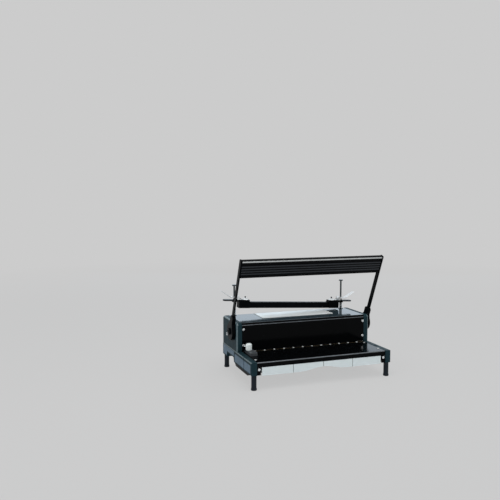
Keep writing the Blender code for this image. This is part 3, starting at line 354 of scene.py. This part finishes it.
def sprayed(name, colour, rough, specular, wave=90):
    """A polished coat: lighter spots of dust, rubbed patches and a long soft wave."""
    look, tree, shader = begin(name, colour, specular=specular)
    dust = pattern(tree, dust_scale, 7, y=300)
    colours(tree, shader, dust, colour, shade(colour, dust_lift), 0.5, 0.8)
    gloss(tree, shader, pattern(tree, rubbed_scale, 6), max(0.03, rough - 0.03), rough + 0.05)
    relief(tree, shader, pattern(tree, wave, 2, y=-400), 0.10, wave_depth)
    return look


gloss_look = sprayed("gloss_black", (0.026, 0.042, 0.052), 0.055, 0.46)
table_look = sprayed("table_black", (0.0012, 0.0016, 0.0020), 0.12, 0.12)
# Black of the front and rear panels; on the table's fascia and the top cover's front lip it is also painted
# shade, darker and duller than their top faces.
panel_and_painted_shade_look = sprayed("panel_black_and_painted_shade", (0.0008, 0.0011, 0.0014), 0.12, 0.06)
# Lighter, shinier black for the rolled upper edges of the table and the front panel: a painted highlight.
roll_painted_highlight_look = sprayed("roll_painted_highlight", (0.085, 0.098, 0.110), 0.24, 0.80)
satin_look = sprayed("satin_black", (0.0020, 0.0026, 0.0034), 0.28, 0.03, wave=500)

# %% [markdown]
# ### Metals
# Zinc plate, blackened rod and ground tool steel differ in how long their marks are. A noise drawn out
# along the grinding direction gives the lines, and the roughness and the relief both follow it. The blank
# plate is half way between bright metal and pale paint, as an anodised plate is.

# %% Metal finishes
tarnish_scale = 70


def metal(
    name, colour, rough, stretch=(1, 1, 1), scale=600, depth=0.00003, drift=0.10, metallic=1.0
):
    """Metal whose gloss and relief follow lines drawn out along the axis with the small stretch."""
    look, tree, shader = begin(name, colour, metallic=metallic)
    tarnish = pattern(tree, tarnish_scale, 4, y=300)
    colours(tree, shader, tarnish, shade(colour, 1 - drift), shade(colour, 1 + drift))
    lines = pattern(tree, scale, 3, stretch)
    gloss(tree, shader, lines, max(0.04, rough - 0.07), rough + 0.08)
    relief(tree, shader, lines, 0.2, depth)
    return look


blank_look = metal(
    "blank_plate", (0.90, 0.94, 0.93), 0.36, (0.03, 1, 1), 500,
    depth=0.00001, drift=0.04, metallic=0.55,
)
zinc_look = metal("zinc_plate", (0.78, 0.81, 0.82), 0.26)
lever_look = metal("lever_zinc", (0.92, 0.95, 0.97), 0.46, drift=0.04)
rod_look = metal("dark_rod", (0.060, 0.070, 0.075), 0.16, (1, 1, 0.06), 700)
spring_look = metal("spring_wire", (0.46, 0.49, 0.50), 0.22, scale=900)
tool_look = metal("ground_steel", (0.30, 0.30, 0.31), 0.34, (0.04, 1, 1), 500)
bronze_look = metal("bronze_strip", (0.17, 0.13, 0.075), 0.36, (0.04, 1, 1), 500)
# Silver strip along the grip's upper front; its brightness also stands in for the highlight line along the
# grip's rounded top: partly a painted highlight.
trim_and_painted_highlight_look = metal("silver_trim_and_painted_highlight", (0.66, 0.69, 0.69), 0.30, (0.03, 1, 1), 800)

# %% [markdown]
# ### A finish for every node
# The frame's own meshes stay as they are and only get a finish. The table lists the end of each node's
# name, so that the left and the right one are dressed alike.

# %% Finish of each node
finish_table = (
    (casing_look, ("base_rail", "side_cover")),
    (inlay_look, ("rail_panel",)),
    (leg_look, ("left_leg", "right_leg")),
    (satin_look, ("under_rail", "bottom_plate", "drawer_runner", "lever_hub", "handle_arm")),
    (satin_look, ("rod_collar", "press_bar", "end_block", "finger_plate")),
    (gloss_look, ("top_cover",)),
    (table_look, ("table_plate",)),
    (panel_and_painted_shade_look, ("front_panel", "rear_panel")),
    (blank_look, ("top_plate_blank",)),
    (tool_look, ("frame_plate", "die_block", "punch_guide", "punch_pins", "punch_beam")),
    (tool_look, ("drive_pinion", "return_spring", "cross_rail")),
    (bronze_look, ("throat_strip", "shaft_bush")),
    (zinc_look, ("drive_shaft", "lever_bracket")),
    (lever_look, ("clutch_lever",)),
    (rod_look, ("press_rod",)),
    (spring_look, ("press_spring",)),
    (grip_look, ("handle_grip",)),
    (trim_and_painted_highlight_look, ("grip_trim",)),
    (drawer_look, ("chip_drawer",)),
    (guide_look, ("side_guide",)),
    (knob_look, ("guide_knob",)),
)
look_of = {}
for look, endings in finish_table:
    for node in frame["nodes"]:
        if node.endswith(endings):
            look_of[node] = look
for node, thing in frame["nodes"].items():
    thing.data.materials.clear()
    thing.data.materials.append(look_of[node])
print("nodes with a finish:", len(look_of), "of", len(frame["nodes"]))

# %% [markdown]
# ## Real edges
# No moulded or pressed edge is perfectly sharp. On black pieces the thin bright line along a rounded edge
# is most of what the eye sees. A copy of a node is welded, its flat triangles are joined into whole faces,
# and a Bevel modifier rounds what is left. The copy then stands for the node.

# %% Making a piece
edge_angle = math.radians(28)
smooth_angle = math.radians(35)
edge_rings = 2


def settle(name, bm, look, body, node=None, edge=0, extras=()):
    """Makes an object of the mesh, rounds its edges and puts it on its body."""
    mesh = bpy.data.meshes.new(name)
    bm.to_mesh(mesh)
    bm.free()
    mesh.materials.append(look)
    for more in extras:
        mesh.materials.append(more)
    mesh.shade_smooth()
    if not edge:
        mesh.set_sharp_from_angle(angle=smooth_angle)
    piece = bpy.data.objects.new(name, mesh)
    scene.collection.objects.link(piece)
    if edge:
        bevel = piece.modifiers.new("edges", "BEVEL")
        bevel.width = edge
        bevel.segments = edge_rings
        bevel.limit_method = "ANGLE"
        bevel.angle_limit = edge_angle
        bevel.harden_normals = True
        bevel.use_clamp_overlap = False
        flat = piece.modifiers.new("flat_faces", "WEIGHTED_NORMAL")
        flat.keep_sharp = True
    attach(piece, body)
    if node is not None:
        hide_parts(node)


# %% Reading a node's shape
weld_reach = 0.000002
flat_angle = math.radians(0.6)
strip_breadth = 0.0013
flat_share = 0.97


def welded(node):
    """A welded copy of a node's mesh, with whole flat faces."""
    bm = bmesh.new()
    bm.from_mesh(frame["nodes"][node].data)
    bmesh.ops.remove_doubles(bm, verts=bm.verts, dist=weld_reach)
    bmesh.ops.dissolve_limit(bm, angle_limit=flat_angle, verts=bm.verts, edges=bm.edges)
    return bm


def breadth(face):
    """How wide a long face is."""
    return face.calc_area() / max(e.calc_length() for e in face.edges)


def on_rounding(face):
    """Whether a face is one of the narrow slanted strips of a rounded edge."""
    return max(abs(v) for v in face.normal) < flat_share and breadth(face) < strip_breadth


# %% [markdown]
# ### Nodes that only need rounded edges
# Bent sheet, small castings and round stock have the right shape already. Their edges get 0.2 to 0.3 mm,
# and the handle's cast arms twice that. All of them are made by the same three steps in one loop.

# %% Nodes that only need rounded edges
edge_table = (
    (0.0003, ("under_rail", "rear_panel", "bottom_plate")),
    (0.0003, ("drawer_runner", "press_bar", "end_block", "finger_plate", "lever_bracket")),
    (0.0003, ("clutch_lever", "side_guide", "_leg", "press_rod", "rod_collar")),
    (0.0002, ("top_plate_blank", "grip_trim")),
    (0.0006, ("handle_arm",)),
)
for width, endings in edge_table:
    for node in frame["nodes"]:
        if node.endswith(endings):
            bm = welded(node)
            print(f"{node}: {len(bm.faces)} faces")
            settle(f"{node}_edged", bm, look_of[node], body_of[node], node, edge=width)

# %% [markdown]
# ## Sheets with rolled edges
# On the real machine the upper front edges of the table and of the front panel are rolled, and the rolls
# get a lighter, shinier finish: a painted highlight. The flat front faces of the table and the lip of the
# top cover get the black panel finish, darker and duller than their tops: painted shade. So each copy gets
# more than one finish, and the direction and the breadth of a face tell which one it takes. The second
# number of each row says how far a face has to turn forward to count as front.

# %% Top cover, table and front panel
roll_turn = 0.2

for node, front_turn in (("top_cover", 0.5), ("table_plate", 0.9), ("front_panel", 0.9)):
    bm = welded(node)
    for face in bm.faces:
        forward = -face.normal.y
        # Rolled faces that turn up and forward take the lighter roll finish: a painted highlight.
        rolled = on_rounding(face) and forward > roll_turn and face.normal.z > 0
        if node != "top_cover" and rolled:
            face.material_index = 1
        # Faces turned forward take the panel black: painted shade on the table's fascia and the top cover's
        # lip.
        elif forward > front_turn:
            face.material_index = 2
    print(f"{node}: {sum(f.material_index == 1 for f in bm.faces)} roll faces of {len(bm.faces)}")
    finishes = (roll_painted_highlight_look, panel_and_painted_shade_look)
    settle(f"{node}_edged", bm, look_of[node], "housing", node, edge=0.0003, extras=finishes)

# %% [markdown]
# ## The grip
# The grip is one extruded bar with five grooves along its front. The narrow ribs between the grooves get a
# greyer, shinier finish than the flats above and below them: a painted highlight. Their breadth tells them
# apart.

# %% Grip
rib_least = 0.0028
rib_most = 0.0044
rib_turn = 0.7

bm = welded("handle_grip")
ribs = [f for f in bm.faces if -f.normal.y > rib_turn and rib_least < breadth(f) < rib_most]
# The ribs take the greyer finish: a painted highlight.
for face in ribs:
    face.material_index = 1
print("ribs:", len(ribs))
settle("handle_grip_edged", bm, grip_look, "handle", "handle_grip", edge=0.0004, extras=(rib_painted_highlight_look,))

# %% [markdown]
# ## Cutting with a Boolean
# Grooves, recesses and bores are cut by one helper. It takes a mesh and a cutter, runs an exact Boolean on
# two passing objects, and gives the cut mesh back. A cutter may be made of boxes and bars that cross each
# other, so the Boolean also looks for overlaps inside one mesh.

# %% Cutting helper


def carve(bm, cutter):
    """Takes the cutter out of the mesh with an exact Boolean."""
    things = []
    for name, part in (("blank", bm), ("tool", cutter)):
        mesh = bpy.data.meshes.new(name)
        part.to_mesh(mesh)
        part.free()
        thing = bpy.data.objects.new(name, mesh)
        scene.collection.objects.link(thing)
        things.append(thing)
    cut = things[0].modifiers.new("cut", "BOOLEAN")
    cut.operation = "DIFFERENCE"
    cut.solver = "EXACT"
    cut.use_self = True
    cut.object = things[1]
    carved = bmesh.new()
    carved.from_object(things[0], bpy.context.evaluated_depsgraph_get())
    for thing in things:
        mesh = thing.data
        bpy.data.objects.remove(thing)
        bpy.data.meshes.remove(mesh)
    return carved


def block(bm, low, high):
    """Adds a box between two corners."""
    low, high = Vector(low), Vector(high)
    size = Matrix.Diagonal((*(high - low), 1))
    bmesh.ops.create_cube(bm, size=1, matrix=Matrix.Translation((low + high) / 2) @ size)


def bar_along_x(bm, middle, radius, length, segments):
    """Adds a round or many-sided bar that lies along X."""
    turn = Matrix.Translation(middle) @ Matrix.Rotation(math.pi / 2, 4, "Y")
    bmesh.ops.create_cone(
        bm, cap_ends=True, segments=segments, radius1=radius, radius2=radius, depth=length, matrix=turn,
    )


# %% [markdown]
# ## Side covers
# Each side cover is a moulded cap with generous roundings: its upper corners are rounded in the side view,
# and the whole rim of its outer face is rolled over. A cube is stretched to the cover's box, its two upper
# edges and then its outer rim are bevelled, and the hollow and the hub's bore are cut out. Where the roll
# of the rim faces up or forward it gets a lighter, shinier finish as a painted highlight, and it stays dark
# at the rear.

# %% Side covers
front_corner = 0.0080
rear_corner = 0.0060
corner_rings = 6
rim_round = 0.0045
rim_rings = 5
cover_wall = 0.0030
bore_radius = 0.0145
bore_sides = 64
clear = 0.004
highlight_turn = 0.05
outward_turn = 0.1

for side, sign in sides:
    node = f"{side}_side_cover"
    low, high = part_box(node)
    outer_x = sign * half_width
    bm = bmesh.new()
    block(bm, low, high)
    for y, radius in ((low.y, front_corner), (high.y, rear_corner)):
        upper = [
            e for e in bm.edges
            if all(abs(v.co.y - y) < weld_reach and v.co.z > high.z - clear for v in e.verts)
        ]
        bmesh.ops.bevel(
            bm, geom=upper, offset=radius, segments=corner_rings, profile=0.5, affect="EDGES", material=-1,
        )
    outer = [e for e in bm.edges if all(abs(v.co.x - outer_x) < weld_reach for v in e.verts)]
    rim = [e for e in outer if max(v.co.z for v in e.verts) > low.z + clear]
    bmesh.ops.bevel(
        bm, geom=rim, offset=rim_round, segments=rim_rings, profile=0.5, affect="EDGES", material=-1,
        clamp_overlap=True,
    )
    cutter = bmesh.new()
    far = sign * (half_width - cover_wall)
    near = low.x - clear if sign > 0 else high.x + clear
    block(
        cutter, (min(far, near), low.y + cover_wall, low.z + cover_wall),
        (max(far, near), high.y - cover_wall, high.z - cover_wall),
    )
    bar_along_x(
        cutter, (outer_x, shaft_middle.y, shaft_middle.z), bore_radius, 3 * cover_wall, bore_sides,
    )
    bm = carve(bm, cutter)
    # Rim faces that slant up or forward and outward take the lighter finish: a painted highlight.
    for face in bm.faces:
        slanted = max(abs(v) for v in face.normal) < flat_share
        rubbed = face.normal.z > highlight_turn or -face.normal.y > highlight_turn
        if slanted and rubbed and face.normal.x * sign > outward_turn:
            face.material_index = 1
    print(f"{node}: {len(bm.faces)} faces")
    settle(f"{node}_edged", bm, casing_look, "housing", node, edge=0.0003, extras=(casing_painted_highlight_look,))

# %% [markdown]
# ## Hubs of the handle
# A big round hub on each side holds the arm and hides the shaft's end. Its cap has a six-sided socket,
# which is how such a hub is usually tightened on its shaft.

# %% Hubs
socket_radius = 0.0042
socket_depth = 0.0020
socket_sides = 6

for side, sign in sides:
    node = f"{side}_lever_hub"
    low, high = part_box(node)
    cap_x = high.x if sign > 0 else low.x
    cutter = bmesh.new()
    bar_along_x(
        cutter, (cap_x, shaft_middle.y, shaft_middle.z), socket_radius, 2 * socket_depth, socket_sides,
    )
    bm = carve(welded(node), cutter)
    print(f"{node}: {len(bm.faces)} faces")
    settle(f"{node}_edged", bm, satin_look, "handle", node, edge=0.0002)

# %% [markdown]
# ## Rails with slate inlays
# Each rail is one moulding. Its outer face carries slate grey inlays: one in front of the rear notch, which
# is a node of its own and is parted by a seam, and one behind. The rear one is made here by cutting the
# face at the notch and insetting it, so that a thin rim of the dark moulding stays round it. The seam
# crosses the whole rail near the front, where its end cap begins, and a small bolt hole sits at the notch.

# %% The seam across a rail
seam_y = rail_low.y + 0.0530
seam_half = 0.0015
seam_depth = 0.0008
seam_reach = 1.1


def cross_seam(sign, low, high):
    """A cutter for the seam across the outer face of a rail part, over its whole height."""
    outer = high.x if sign > 0 else low.x
    cutter = bmesh.new()
    reach = Vector((seam_depth, seam_half, seam_depth))
    block(cutter, Vector((outer, seam_y, low.z)) - reach, Vector((outer, seam_y, high.z)) + reach)
    return cutter


for side, sign in sides:
    node = f"{side}_rail_panel"
    bm = carve(welded(node), cross_seam(sign, *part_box(node)))
    # The faces of the seam take the dark leg finish: painted shade in the groove.
    for face in bm.faces:
        if abs(face.calc_center_median().y - seam_y) < seam_reach * seam_half:
            face.material_index = 1
    print(f"{node}: {len(bm.faces)} faces")
    settle(f"{node}_edged", bm, inlay_look, "housing", node, edge=0.0002, extras=(leg_look,))

# %% Base rails
notch_front_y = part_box("left_rail_panel")[1].y + 0.0055
rim_width = 0.0016
inlay_sink = 0.0005
hole_place = (notch_front_y - 0.0028, 0.0532)
hole_radius = 0.0026
hole_depth = 0.003
hole_sides = 24
highlight_up = 0.1
outer_turn = 0.99

for side, sign in sides:
    node = f"{side}_base_rail"
    low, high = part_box(node)
    cutter = cross_seam(sign, low, high)
    block(
        cutter, (low.x - seam_depth, seam_y - seam_half, high.z - seam_depth),
        (high.x + seam_depth, seam_y + seam_half, high.z + seam_depth),
    )
    bar_along_x(cutter, (sign * half_width, *hole_place), hole_radius, 2 * hole_depth, hole_sides)
    bm = carve(welded(node), cutter)
    # Rounded edges that face up take the lighter casing finish: a painted highlight.
    for face in bm.faces:
        if on_rounding(face) and face.normal.z > highlight_up:
            face.material_index = 2
    whole = bm.verts[:] + bm.edges[:] + bm.faces[:]
    bmesh.ops.bisect_plane(bm, geom=whole, plane_co=(0, notch_front_y, 0), plane_no=(0, 1, 0))
    outer = [
        f for f in bm.faces if f.normal.x * sign > outer_turn and f.calc_center_median().y > notch_front_y
    ]
    face = max(outer, key=lambda f: f.calc_area())
    bmesh.ops.inset_individual(
        bm, faces=[face], thickness=rim_width, depth=-inlay_sink, use_even_offset=True,
    )
    face.material_index = 1
    print(side, "rear inlay:", round(face.calc_area() * 1e6), "square mm")
    finishes = (inlay_look, casing_painted_highlight_look)
    settle(f"{node}_edged", bm, casing_look, "housing", node, edge=0.0003, extras=finishes)

# %% [markdown]
# ## Turned pieces and copies of them
# Knobs, buttons, screw heads and studs are all turned: half of the outline is drawn once and spun about
# the axis. What comes more than once is made once, and copied to each of its places. Each copy is turned
# by a different amount, because real screws never stop at the same angle.

# %% Turned shapes and copies
first_turn = 0.3
turn_apart = 0.7


def turned(profile, steps):
    """Spins a chain of (radius, height) points about the upright axis."""
    bm = bmesh.new()
    chain = [bm.verts.new((radius, 0, height)) for radius, height in profile]
    edges = [bm.edges.new(pair) for pair in zip(chain, chain[1:])]
    bmesh.ops.spin(
        bm, geom=chain + edges, cent=(0, 0, 0), axis=(0, 0, 1), angle=math.tau, steps=steps, use_merge=True
    )
    bmesh.ops.remove_doubles(bm, verts=bm.verts, dist=weld_reach)
    bmesh.ops.recalc_face_normals(bm, faces=bm.faces)
    return bm


def join_into(bm, other):
    """Moves another bmesh into this one as a shell of its own, and returns its new vertices."""
    before = set(bm.verts)
    mesh = bpy.data.meshes.new("shell")
    other.to_mesh(mesh)
    other.free()
    bm.from_mesh(mesh)
    bpy.data.meshes.remove(mesh)
    return [v for v in bm.verts if v not in before]


def place_heads(name, head, places, look, body, edge=0.0001):
    """Copies a head to each place, facing its direction, and frees the first one."""
    bm = bmesh.new()
    for count, (place, facing) in enumerate(places):
        new = join_into(bm, head.copy())
        stand = Vector(facing).to_track_quat("Z", "Y").to_matrix().to_4x4()
        turn = Matrix.Rotation(first_turn + count * turn_apart, 4, "Z")
        bmesh.ops.transform(bm, verts=new, matrix=Matrix.Translation(place) @ stand @ turn)
    head.free()
    print(f"{name}: {len(places)} pieces, {len(bm.faces)} faces")
    settle(name, bm, look, body, edge=edge)


# %% [markdown]
# ## The throat strip
# Along the back of the table a dull bronze strip carries a row of pale buttons, one in front of each
# punched hole. In the frame they are small flat discs. Here each disc is capped by a glossy dome, turned
# from a quarter of an oval.

# %% Throat strip and its buttons
button_look = moulded("button_pale", (0.620, 0.650, 0.640), 0.30, drift=0.05)
button_radius = 0.0023
button_height = 0.0014
button_foot = -0.0002
button_sides = 32
button_count = 12
button_pitch = 0.0254
button_row_middle = 0.0058
button_y = panel_low.y - 0.0012
dome_rings = 6

angles = [i * math.pi / 2 / dome_rings for i in range(dome_rings)]
dome = [(button_radius * math.cos(angle), button_height * math.sin(angle)) for angle in angles]
button = turned([(0, button_foot), (button_radius, button_foot), *dome, (0, button_height)], button_sides)
button_places = [
    ((button_row_middle + (i + 0.5 - button_count / 2) * button_pitch, button_y, table_high.z), (0, 0, 1))
    for i in range(button_count)
]
strip = welded("throat_strip")
settle("throat_strip_edged", strip, bronze_look, "housing", "throat_strip", edge=0.00015)
place_heads("throat_buttons", button, button_places, button_look, "housing", edge=0)

# %% [markdown]
# ## The chip drawer
# The drawer catches the paper chips. Three upright grooves divide its front into four fields, and each
# field is very slightly sunk inside a raised rim. Insetting the four flat faces gives exactly that step.
# The sides and floors of the grooves get a darker finish: painted shade in the grooves.

# %% Chip drawer
drawer_low, drawer_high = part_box("chip_drawer")
field_rim = 0.0020
field_sink = 0.0003
field_least_area = 0.0005
front_depth = 0.0005
groove_depth = 0.0009
drawer_end = 0.03
square_turn = 0.9
# Darker grey for the sides and floors of the drawer's grooves: painted shade.
groove_painted_shade_look = moulded("drawer_groove_painted_shade", (0.130, 0.150, 0.155), 0.50, drift=0.05)

bm = welded("chip_drawer")
fields = [
    f for f in bm.faces
    if -f.normal.y > 0.99 and f.calc_area() > field_least_area
    and f.calc_center_median().y < drawer_low.y + front_depth
]
print("fields on the drawer's front:", len(fields))
bmesh.ops.inset_individual(
    bm, faces=fields, thickness=field_rim, depth=-field_sink, use_even_offset=True,
)
# Groove sides and floors near the front take the darker finish: painted shade.
for face in bm.faces:
    middle = face.calc_center_median()
    near_front = middle.y < drawer_low.y + groove_depth and abs(middle.x) < drawer_high.x - drawer_end
    groove_side = abs(face.normal.x) > square_turn
    groove_floor = -face.normal.y > square_turn and middle.y > drawer_low.y + front_depth
    if near_front and face not in fields and (groove_side or groove_floor):
        face.material_index = 1
settle("chip_drawer_edged", bm, drawer_look, "drawer", "chip_drawer", edge=0.0002, extras=(groove_painted_shade_look,))

# %% [markdown]
# ## The lock knob
# The white knob holds the paper guide. Spinning half of its outline about the axis gives the body, and
# moving its side points in and out in a wave gives the grip flutes. A small tapered pointer stands out to
# the left.

# %% Knob
knob_low, knob_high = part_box("guide_knob")
knob_radius = (knob_high.y - knob_low.y) / 2
knob_place = Vector((knob_high.x - knob_radius, (knob_low.y + knob_high.y) / 2, 0))
knob_foot = knob_high.z - 0.0165
shank_radius = 0.003
flute_count = 18
flute_depth = 0.00045
crown = 0.0005
knob_steps = 144

profile = [
    (0, knob_low.z), (shank_radius, knob_low.z), (shank_radius, knob_foot),
    (knob_radius - 0.0016, knob_foot),
    (knob_radius - 0.0004, knob_foot + 0.0010), (knob_radius, knob_foot + 0.0024),
    (knob_radius, knob_high.z - 0.0034), (knob_radius - 0.0004, knob_high.z - 0.0018),
    (knob_radius - 0.0018, knob_high.z - 0.0006), (knob_radius - 0.0034, knob_high.z),
    (knob_radius - 0.0044, knob_high.z - crown), (0, knob_high.z - crown),
]
bm = turned(profile, knob_steps)
for v in bm.verts:
    radius = math.hypot(v.co.x, v.co.y)
    if radius > knob_radius - 0.0017 and v.co.z > knob_foot + 0.0005:
        wave = 0.5 - 0.5 * math.cos(flute_count * math.atan2(v.co.y, v.co.x))
        v.co.xy *= 1 - flute_depth * wave ** 2 / radius
print("knob radius:", round(knob_radius, 4), "at", [round(v, 4) for v in knob_place])

# %% Pointer of the knob
pointer_root = 0.004
pointer_height = 0.0105
pointer_radii = (0.0018, 0.0011)
pointer_reach = knob_place.x - knob_low.x

pointer = bmesh.new()
bmesh.ops.create_cone(
    pointer, cap_ends=True, segments=32, radius1=pointer_radii[0], radius2=pointer_radii[1],
    depth=pointer_reach - pointer_root,
)
sideways = Matrix.Rotation(-math.pi / 2, 3, "Y")
bmesh.ops.rotate(pointer, verts=pointer.verts, cent=(0, 0, 0), matrix=sideways)
middle = (-(pointer_reach + pointer_root) / 2, 0, knob_foot + pointer_height)
bmesh.ops.translate(pointer, verts=pointer.verts, vec=middle)
join_into(bm, pointer)
bmesh.ops.translate(bm, verts=bm.verts, vec=knob_place)
print("pointer:", round((pointer_reach - pointer_root) * 1000, 1), "mm long")
settle("guide_knob_fluted", bm, knob_look, "lock_knob", "guide_knob", edge=0.0002)

# %% [markdown]
# ## Springs
# A coil spring is one wire on a helix. Spinning a small circle about the rod, with a rise at every step,
# draws it in one operation. The first and the last turn rise by little more than the wire's own thickness,
# as on a spring whose ends are closed.

# %% Press springs
wire_radius = 0.0006
wire_sides = 12
turn_steps = 32
inner_turns = 6
closed_rise = 0.0015

for side, _ in sides:
    low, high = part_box(f"{side}_press_spring")
    middle = (low + high) / 2
    coil_radius = (high.x - low.x) / 2 - wire_radius
    open_rise = (high.z - low.z - 2 * wire_radius - 2 * closed_rise) / inner_turns
    bm = bmesh.new()
    start = bmesh.ops.create_circle(bm, segments=wire_sides, radius=wire_radius)["verts"]
    upright = Matrix.Rotation(math.pi / 2, 3, "X")
    bmesh.ops.rotate(bm, verts=start, cent=(0, 0, 0), matrix=upright)
    bmesh.ops.translate(bm, verts=start, vec=(coil_radius, 0, low.z + wire_radius))
    ring = bm.edges[:] + start
    for turns, rise in ((1, closed_rise), (inner_turns, open_rise), (1, closed_rise)):
        ring = bmesh.ops.spin(
            bm, geom=ring, cent=(0, 0, 0), axis=(0, 0, 1), angle=math.tau * turns,
            steps=turns * turn_steps, dvec=(0, 0, rise / turn_steps),
        )["geom_last"]
    bmesh.ops.holes_fill(bm, edges=[e for e in bm.edges if e.is_boundary], sides=0)
    bmesh.ops.recalc_face_normals(bm, faces=bm.faces)
    bmesh.ops.translate(bm, verts=bm.verts, vec=(middle.x, middle.y, 0))
    top = max(v.co.z for v in bm.verts)
    settle(f"{side}_press_coil", bm, spring_look, "housing", f"{side}_press_spring")
    print(side, "spring from", round(low.z, 4), "to", round(top, 4), "frame says", round(high.z, 4))

# %% [markdown]
# ## Screws
# The sheets are held by zinc plated pan head screws with a cross recess. One head is turned from half of
# its outline, and a cross is cut into it by a Boolean. A short neck goes into the sheet, so that no head
# seems to float.

# %% One screw head
neck_share = 0.45
neck_depth = 0.0006
head_steps = 40
cross_length = 1.15
cross_width = 0.26


def pan_head(radius, height):
    """A domed head standing on z = 0, with a neck below it and a cross recess."""
    neck = radius * neck_share
    profile = [
        (0, -neck_depth), (neck, -neck_depth), (neck, 0), (radius * 0.94, 0), (radius, height * 0.12),
        (radius, height * 0.34), (radius * 0.93, height * 0.60), (radius * 0.76, height * 0.82),
        (radius * 0.48, height * 0.96), (0, height),
    ]
    cross = bmesh.new()
    for turn in (0, math.pi / 2):
        arm = Matrix.Diagonal((radius * cross_length, radius * cross_width, height * 1.2, 1))
        place = Matrix.Rotation(turn, 4, "Z") @ Matrix.Translation((0, 0, height))
        bmesh.ops.create_cube(cross, size=1, matrix=place @ arm)
    return carve(turned(profile, head_steps), cross)


# %% [markdown]
# ### Where the screws sit
# Two screws hold each end of the front panel, and two each end of the rear one. The table has three on top
# and two in its fascia, and one bigger screw closes each side cover behind its hub. Every head faces out
# of the sheet that it holds and stands on that sheet's own face.

# %% Screws of the sheets and the table
forward, backward, upward = (0, -1, 0), (0, 1, 0), (0, 0, 1)
head_radius = 0.0032
head_height = 0.0016
panel_screw_x = 0.1623
front_screw_heights = (0.0790, 0.1175)
rear_screw_heights = (0.052, 0.118)
table_screw_x = 0.1605
table_front_y = -0.083
table_rear_y = -0.016
fascia_screw_z = 0.047

front_places = [
    ((sign * panel_screw_x, panel_low.y, z), forward) for _, sign in sides for z in front_screw_heights
]
rear_places = [
    ((sign * panel_screw_x, rear_high.y, z), backward) for _, sign in sides for z in rear_screw_heights
]
table_places = [
    ((-table_screw_x, table_front_y, table_high.z), upward),
    ((table_screw_x, table_front_y, table_high.z), upward),
    ((table_screw_x, table_rear_y, table_high.z), upward),
    ((-table_screw_x, table_low.y, fascia_screw_z), forward),
    ((table_screw_x, table_low.y, fascia_screw_z), forward),
]
for name, places in (
    ("front_panel_screws", front_places),
    ("rear_panel_screws", rear_places),
    ("table_screws", table_places),
):
    place_heads(name, pan_head(head_radius, head_height), places, zinc_look, "housing")

# %% Screws of the side covers
big_head_radius = 0.0045
big_head_height = 0.0022
casing_screw_place = (0.069, 0.094)

casing_places = [((sign * half_width, *casing_screw_place), (sign, 0, 0)) for _, sign in sides]
big_head = pan_head(big_head_radius, big_head_height)
place_heads("casing_screws", big_head, casing_places, lever_look, "housing")

# %% [markdown]
# ## Nuts and studs on the press bar
# Each end block of the press bar hangs on its finger plate by a stud with a flanged nut, and a smaller nut
# sits beside the lever. They follow the slight lean of the bar, which turns about the right rod.

# %% Lean of the press bar
bar_lean = math.radians(3.3)
lean_height = 0.1551
plate_rise = 0.0018
lean_middle = Vector((rod_place.x, rod_place.y, lean_height))
plate_top = lean_height + plate_rise


def leaned(place):
    """A place on the level bar, moved to where the leaning bar has it."""
    return lean_middle + Matrix.Rotation(bar_lean, 3, "Y") @ (Vector(place) - lean_middle)


up_from_bar = Matrix.Rotation(bar_lean, 3, "Y") @ Vector((0, 0, 1))
print("bar leans about", [round(v, 4) for v in lean_middle])

# %% [markdown]
# ### Nuts and studs
# A flanged nut is a six-sided bar with its upper rim broken, standing on a turned disc. The end of a stud
# is turned too, from an outline with one small step for every thread. True threads would climb, but at
# this size plain rings look the same and stay light.

# %% Flanged nut and threaded end
nut_chamfer = 0.0004
flange_steps = 48
thread_pitch = 0.0007
thread_core_share = 0.86
stud_steps = 32


def flanged_nut(across, height, flange_radius, flange_height):
    """A six-sided nut on a round flange, both standing on z = 0."""
    corner_radius = across / math.sqrt(3)
    bm = bmesh.new()
    six = bmesh.ops.create_cone(
        bm, cap_ends=True, segments=6, radius1=corner_radius, radius2=corner_radius, depth=height,
    )["verts"]
    bmesh.ops.translate(bm, verts=six, vec=(0, 0, height / 2))
    top_rim = [e for e in bm.edges if all(v.co.z > height * 0.9 for v in e.verts)]
    bmesh.ops.bevel(
        bm, geom=top_rim, offset=nut_chamfer, segments=2, profile=0.5, affect="EDGES", material=-1,
    )
    profile = [
        (0, 0), (flange_radius, 0), (flange_radius, flange_height * 0.5),
        (flange_radius * 0.75, flange_height), (0, flange_height),
    ]
    join_into(bm, turned(profile, flange_steps))
    return bm


def threaded_end(radius, length):
    """A stud's end with fine rings for its thread and a chamfered tip."""
    profile = [(0, 0), (radius, 0)]
    height = thread_pitch
    while height < length - thread_pitch:
        profile += [(radius, height), (radius * thread_core_share, height + thread_pitch * 0.5)]
        height += thread_pitch
    profile += [(radius, height), (radius * 0.7, length), (0, length)]
    return turned(profile, stud_steps)


# %% Nuts and studs of the press bar
stud_x = 0.1240
small_nut_x = 0.1375
big_nut = (0.0088, 0.0050, 0.0078, 0.0016)
small_nut = (0.0050, 0.0036, 0.0036, 0.0008)
big_stud = (0.0020, 0.0086)
small_stud = (0.0012, 0.0044)
nut_edge = 0.0001

big_places, small_places = (
    [(leaned((sign * x, rod_place.y, plate_top)), up_from_bar) for _, sign in sides]
    for x in (stud_x, small_nut_x)
)
for name, head, places, look, edge in (
    ("bar_flange_nuts", flanged_nut(*big_nut), big_places, lever_look, nut_edge),
    ("bar_small_nuts", flanged_nut(*small_nut), small_places, lever_look, nut_edge),
    ("bar_studs", threaded_end(*big_stud), big_places, satin_look, 0),
    ("bar_small_studs", threaded_end(*small_stud), small_places, satin_look, 0),
):
    place_heads(name, head, places, look, "press_bar_unit", edge)
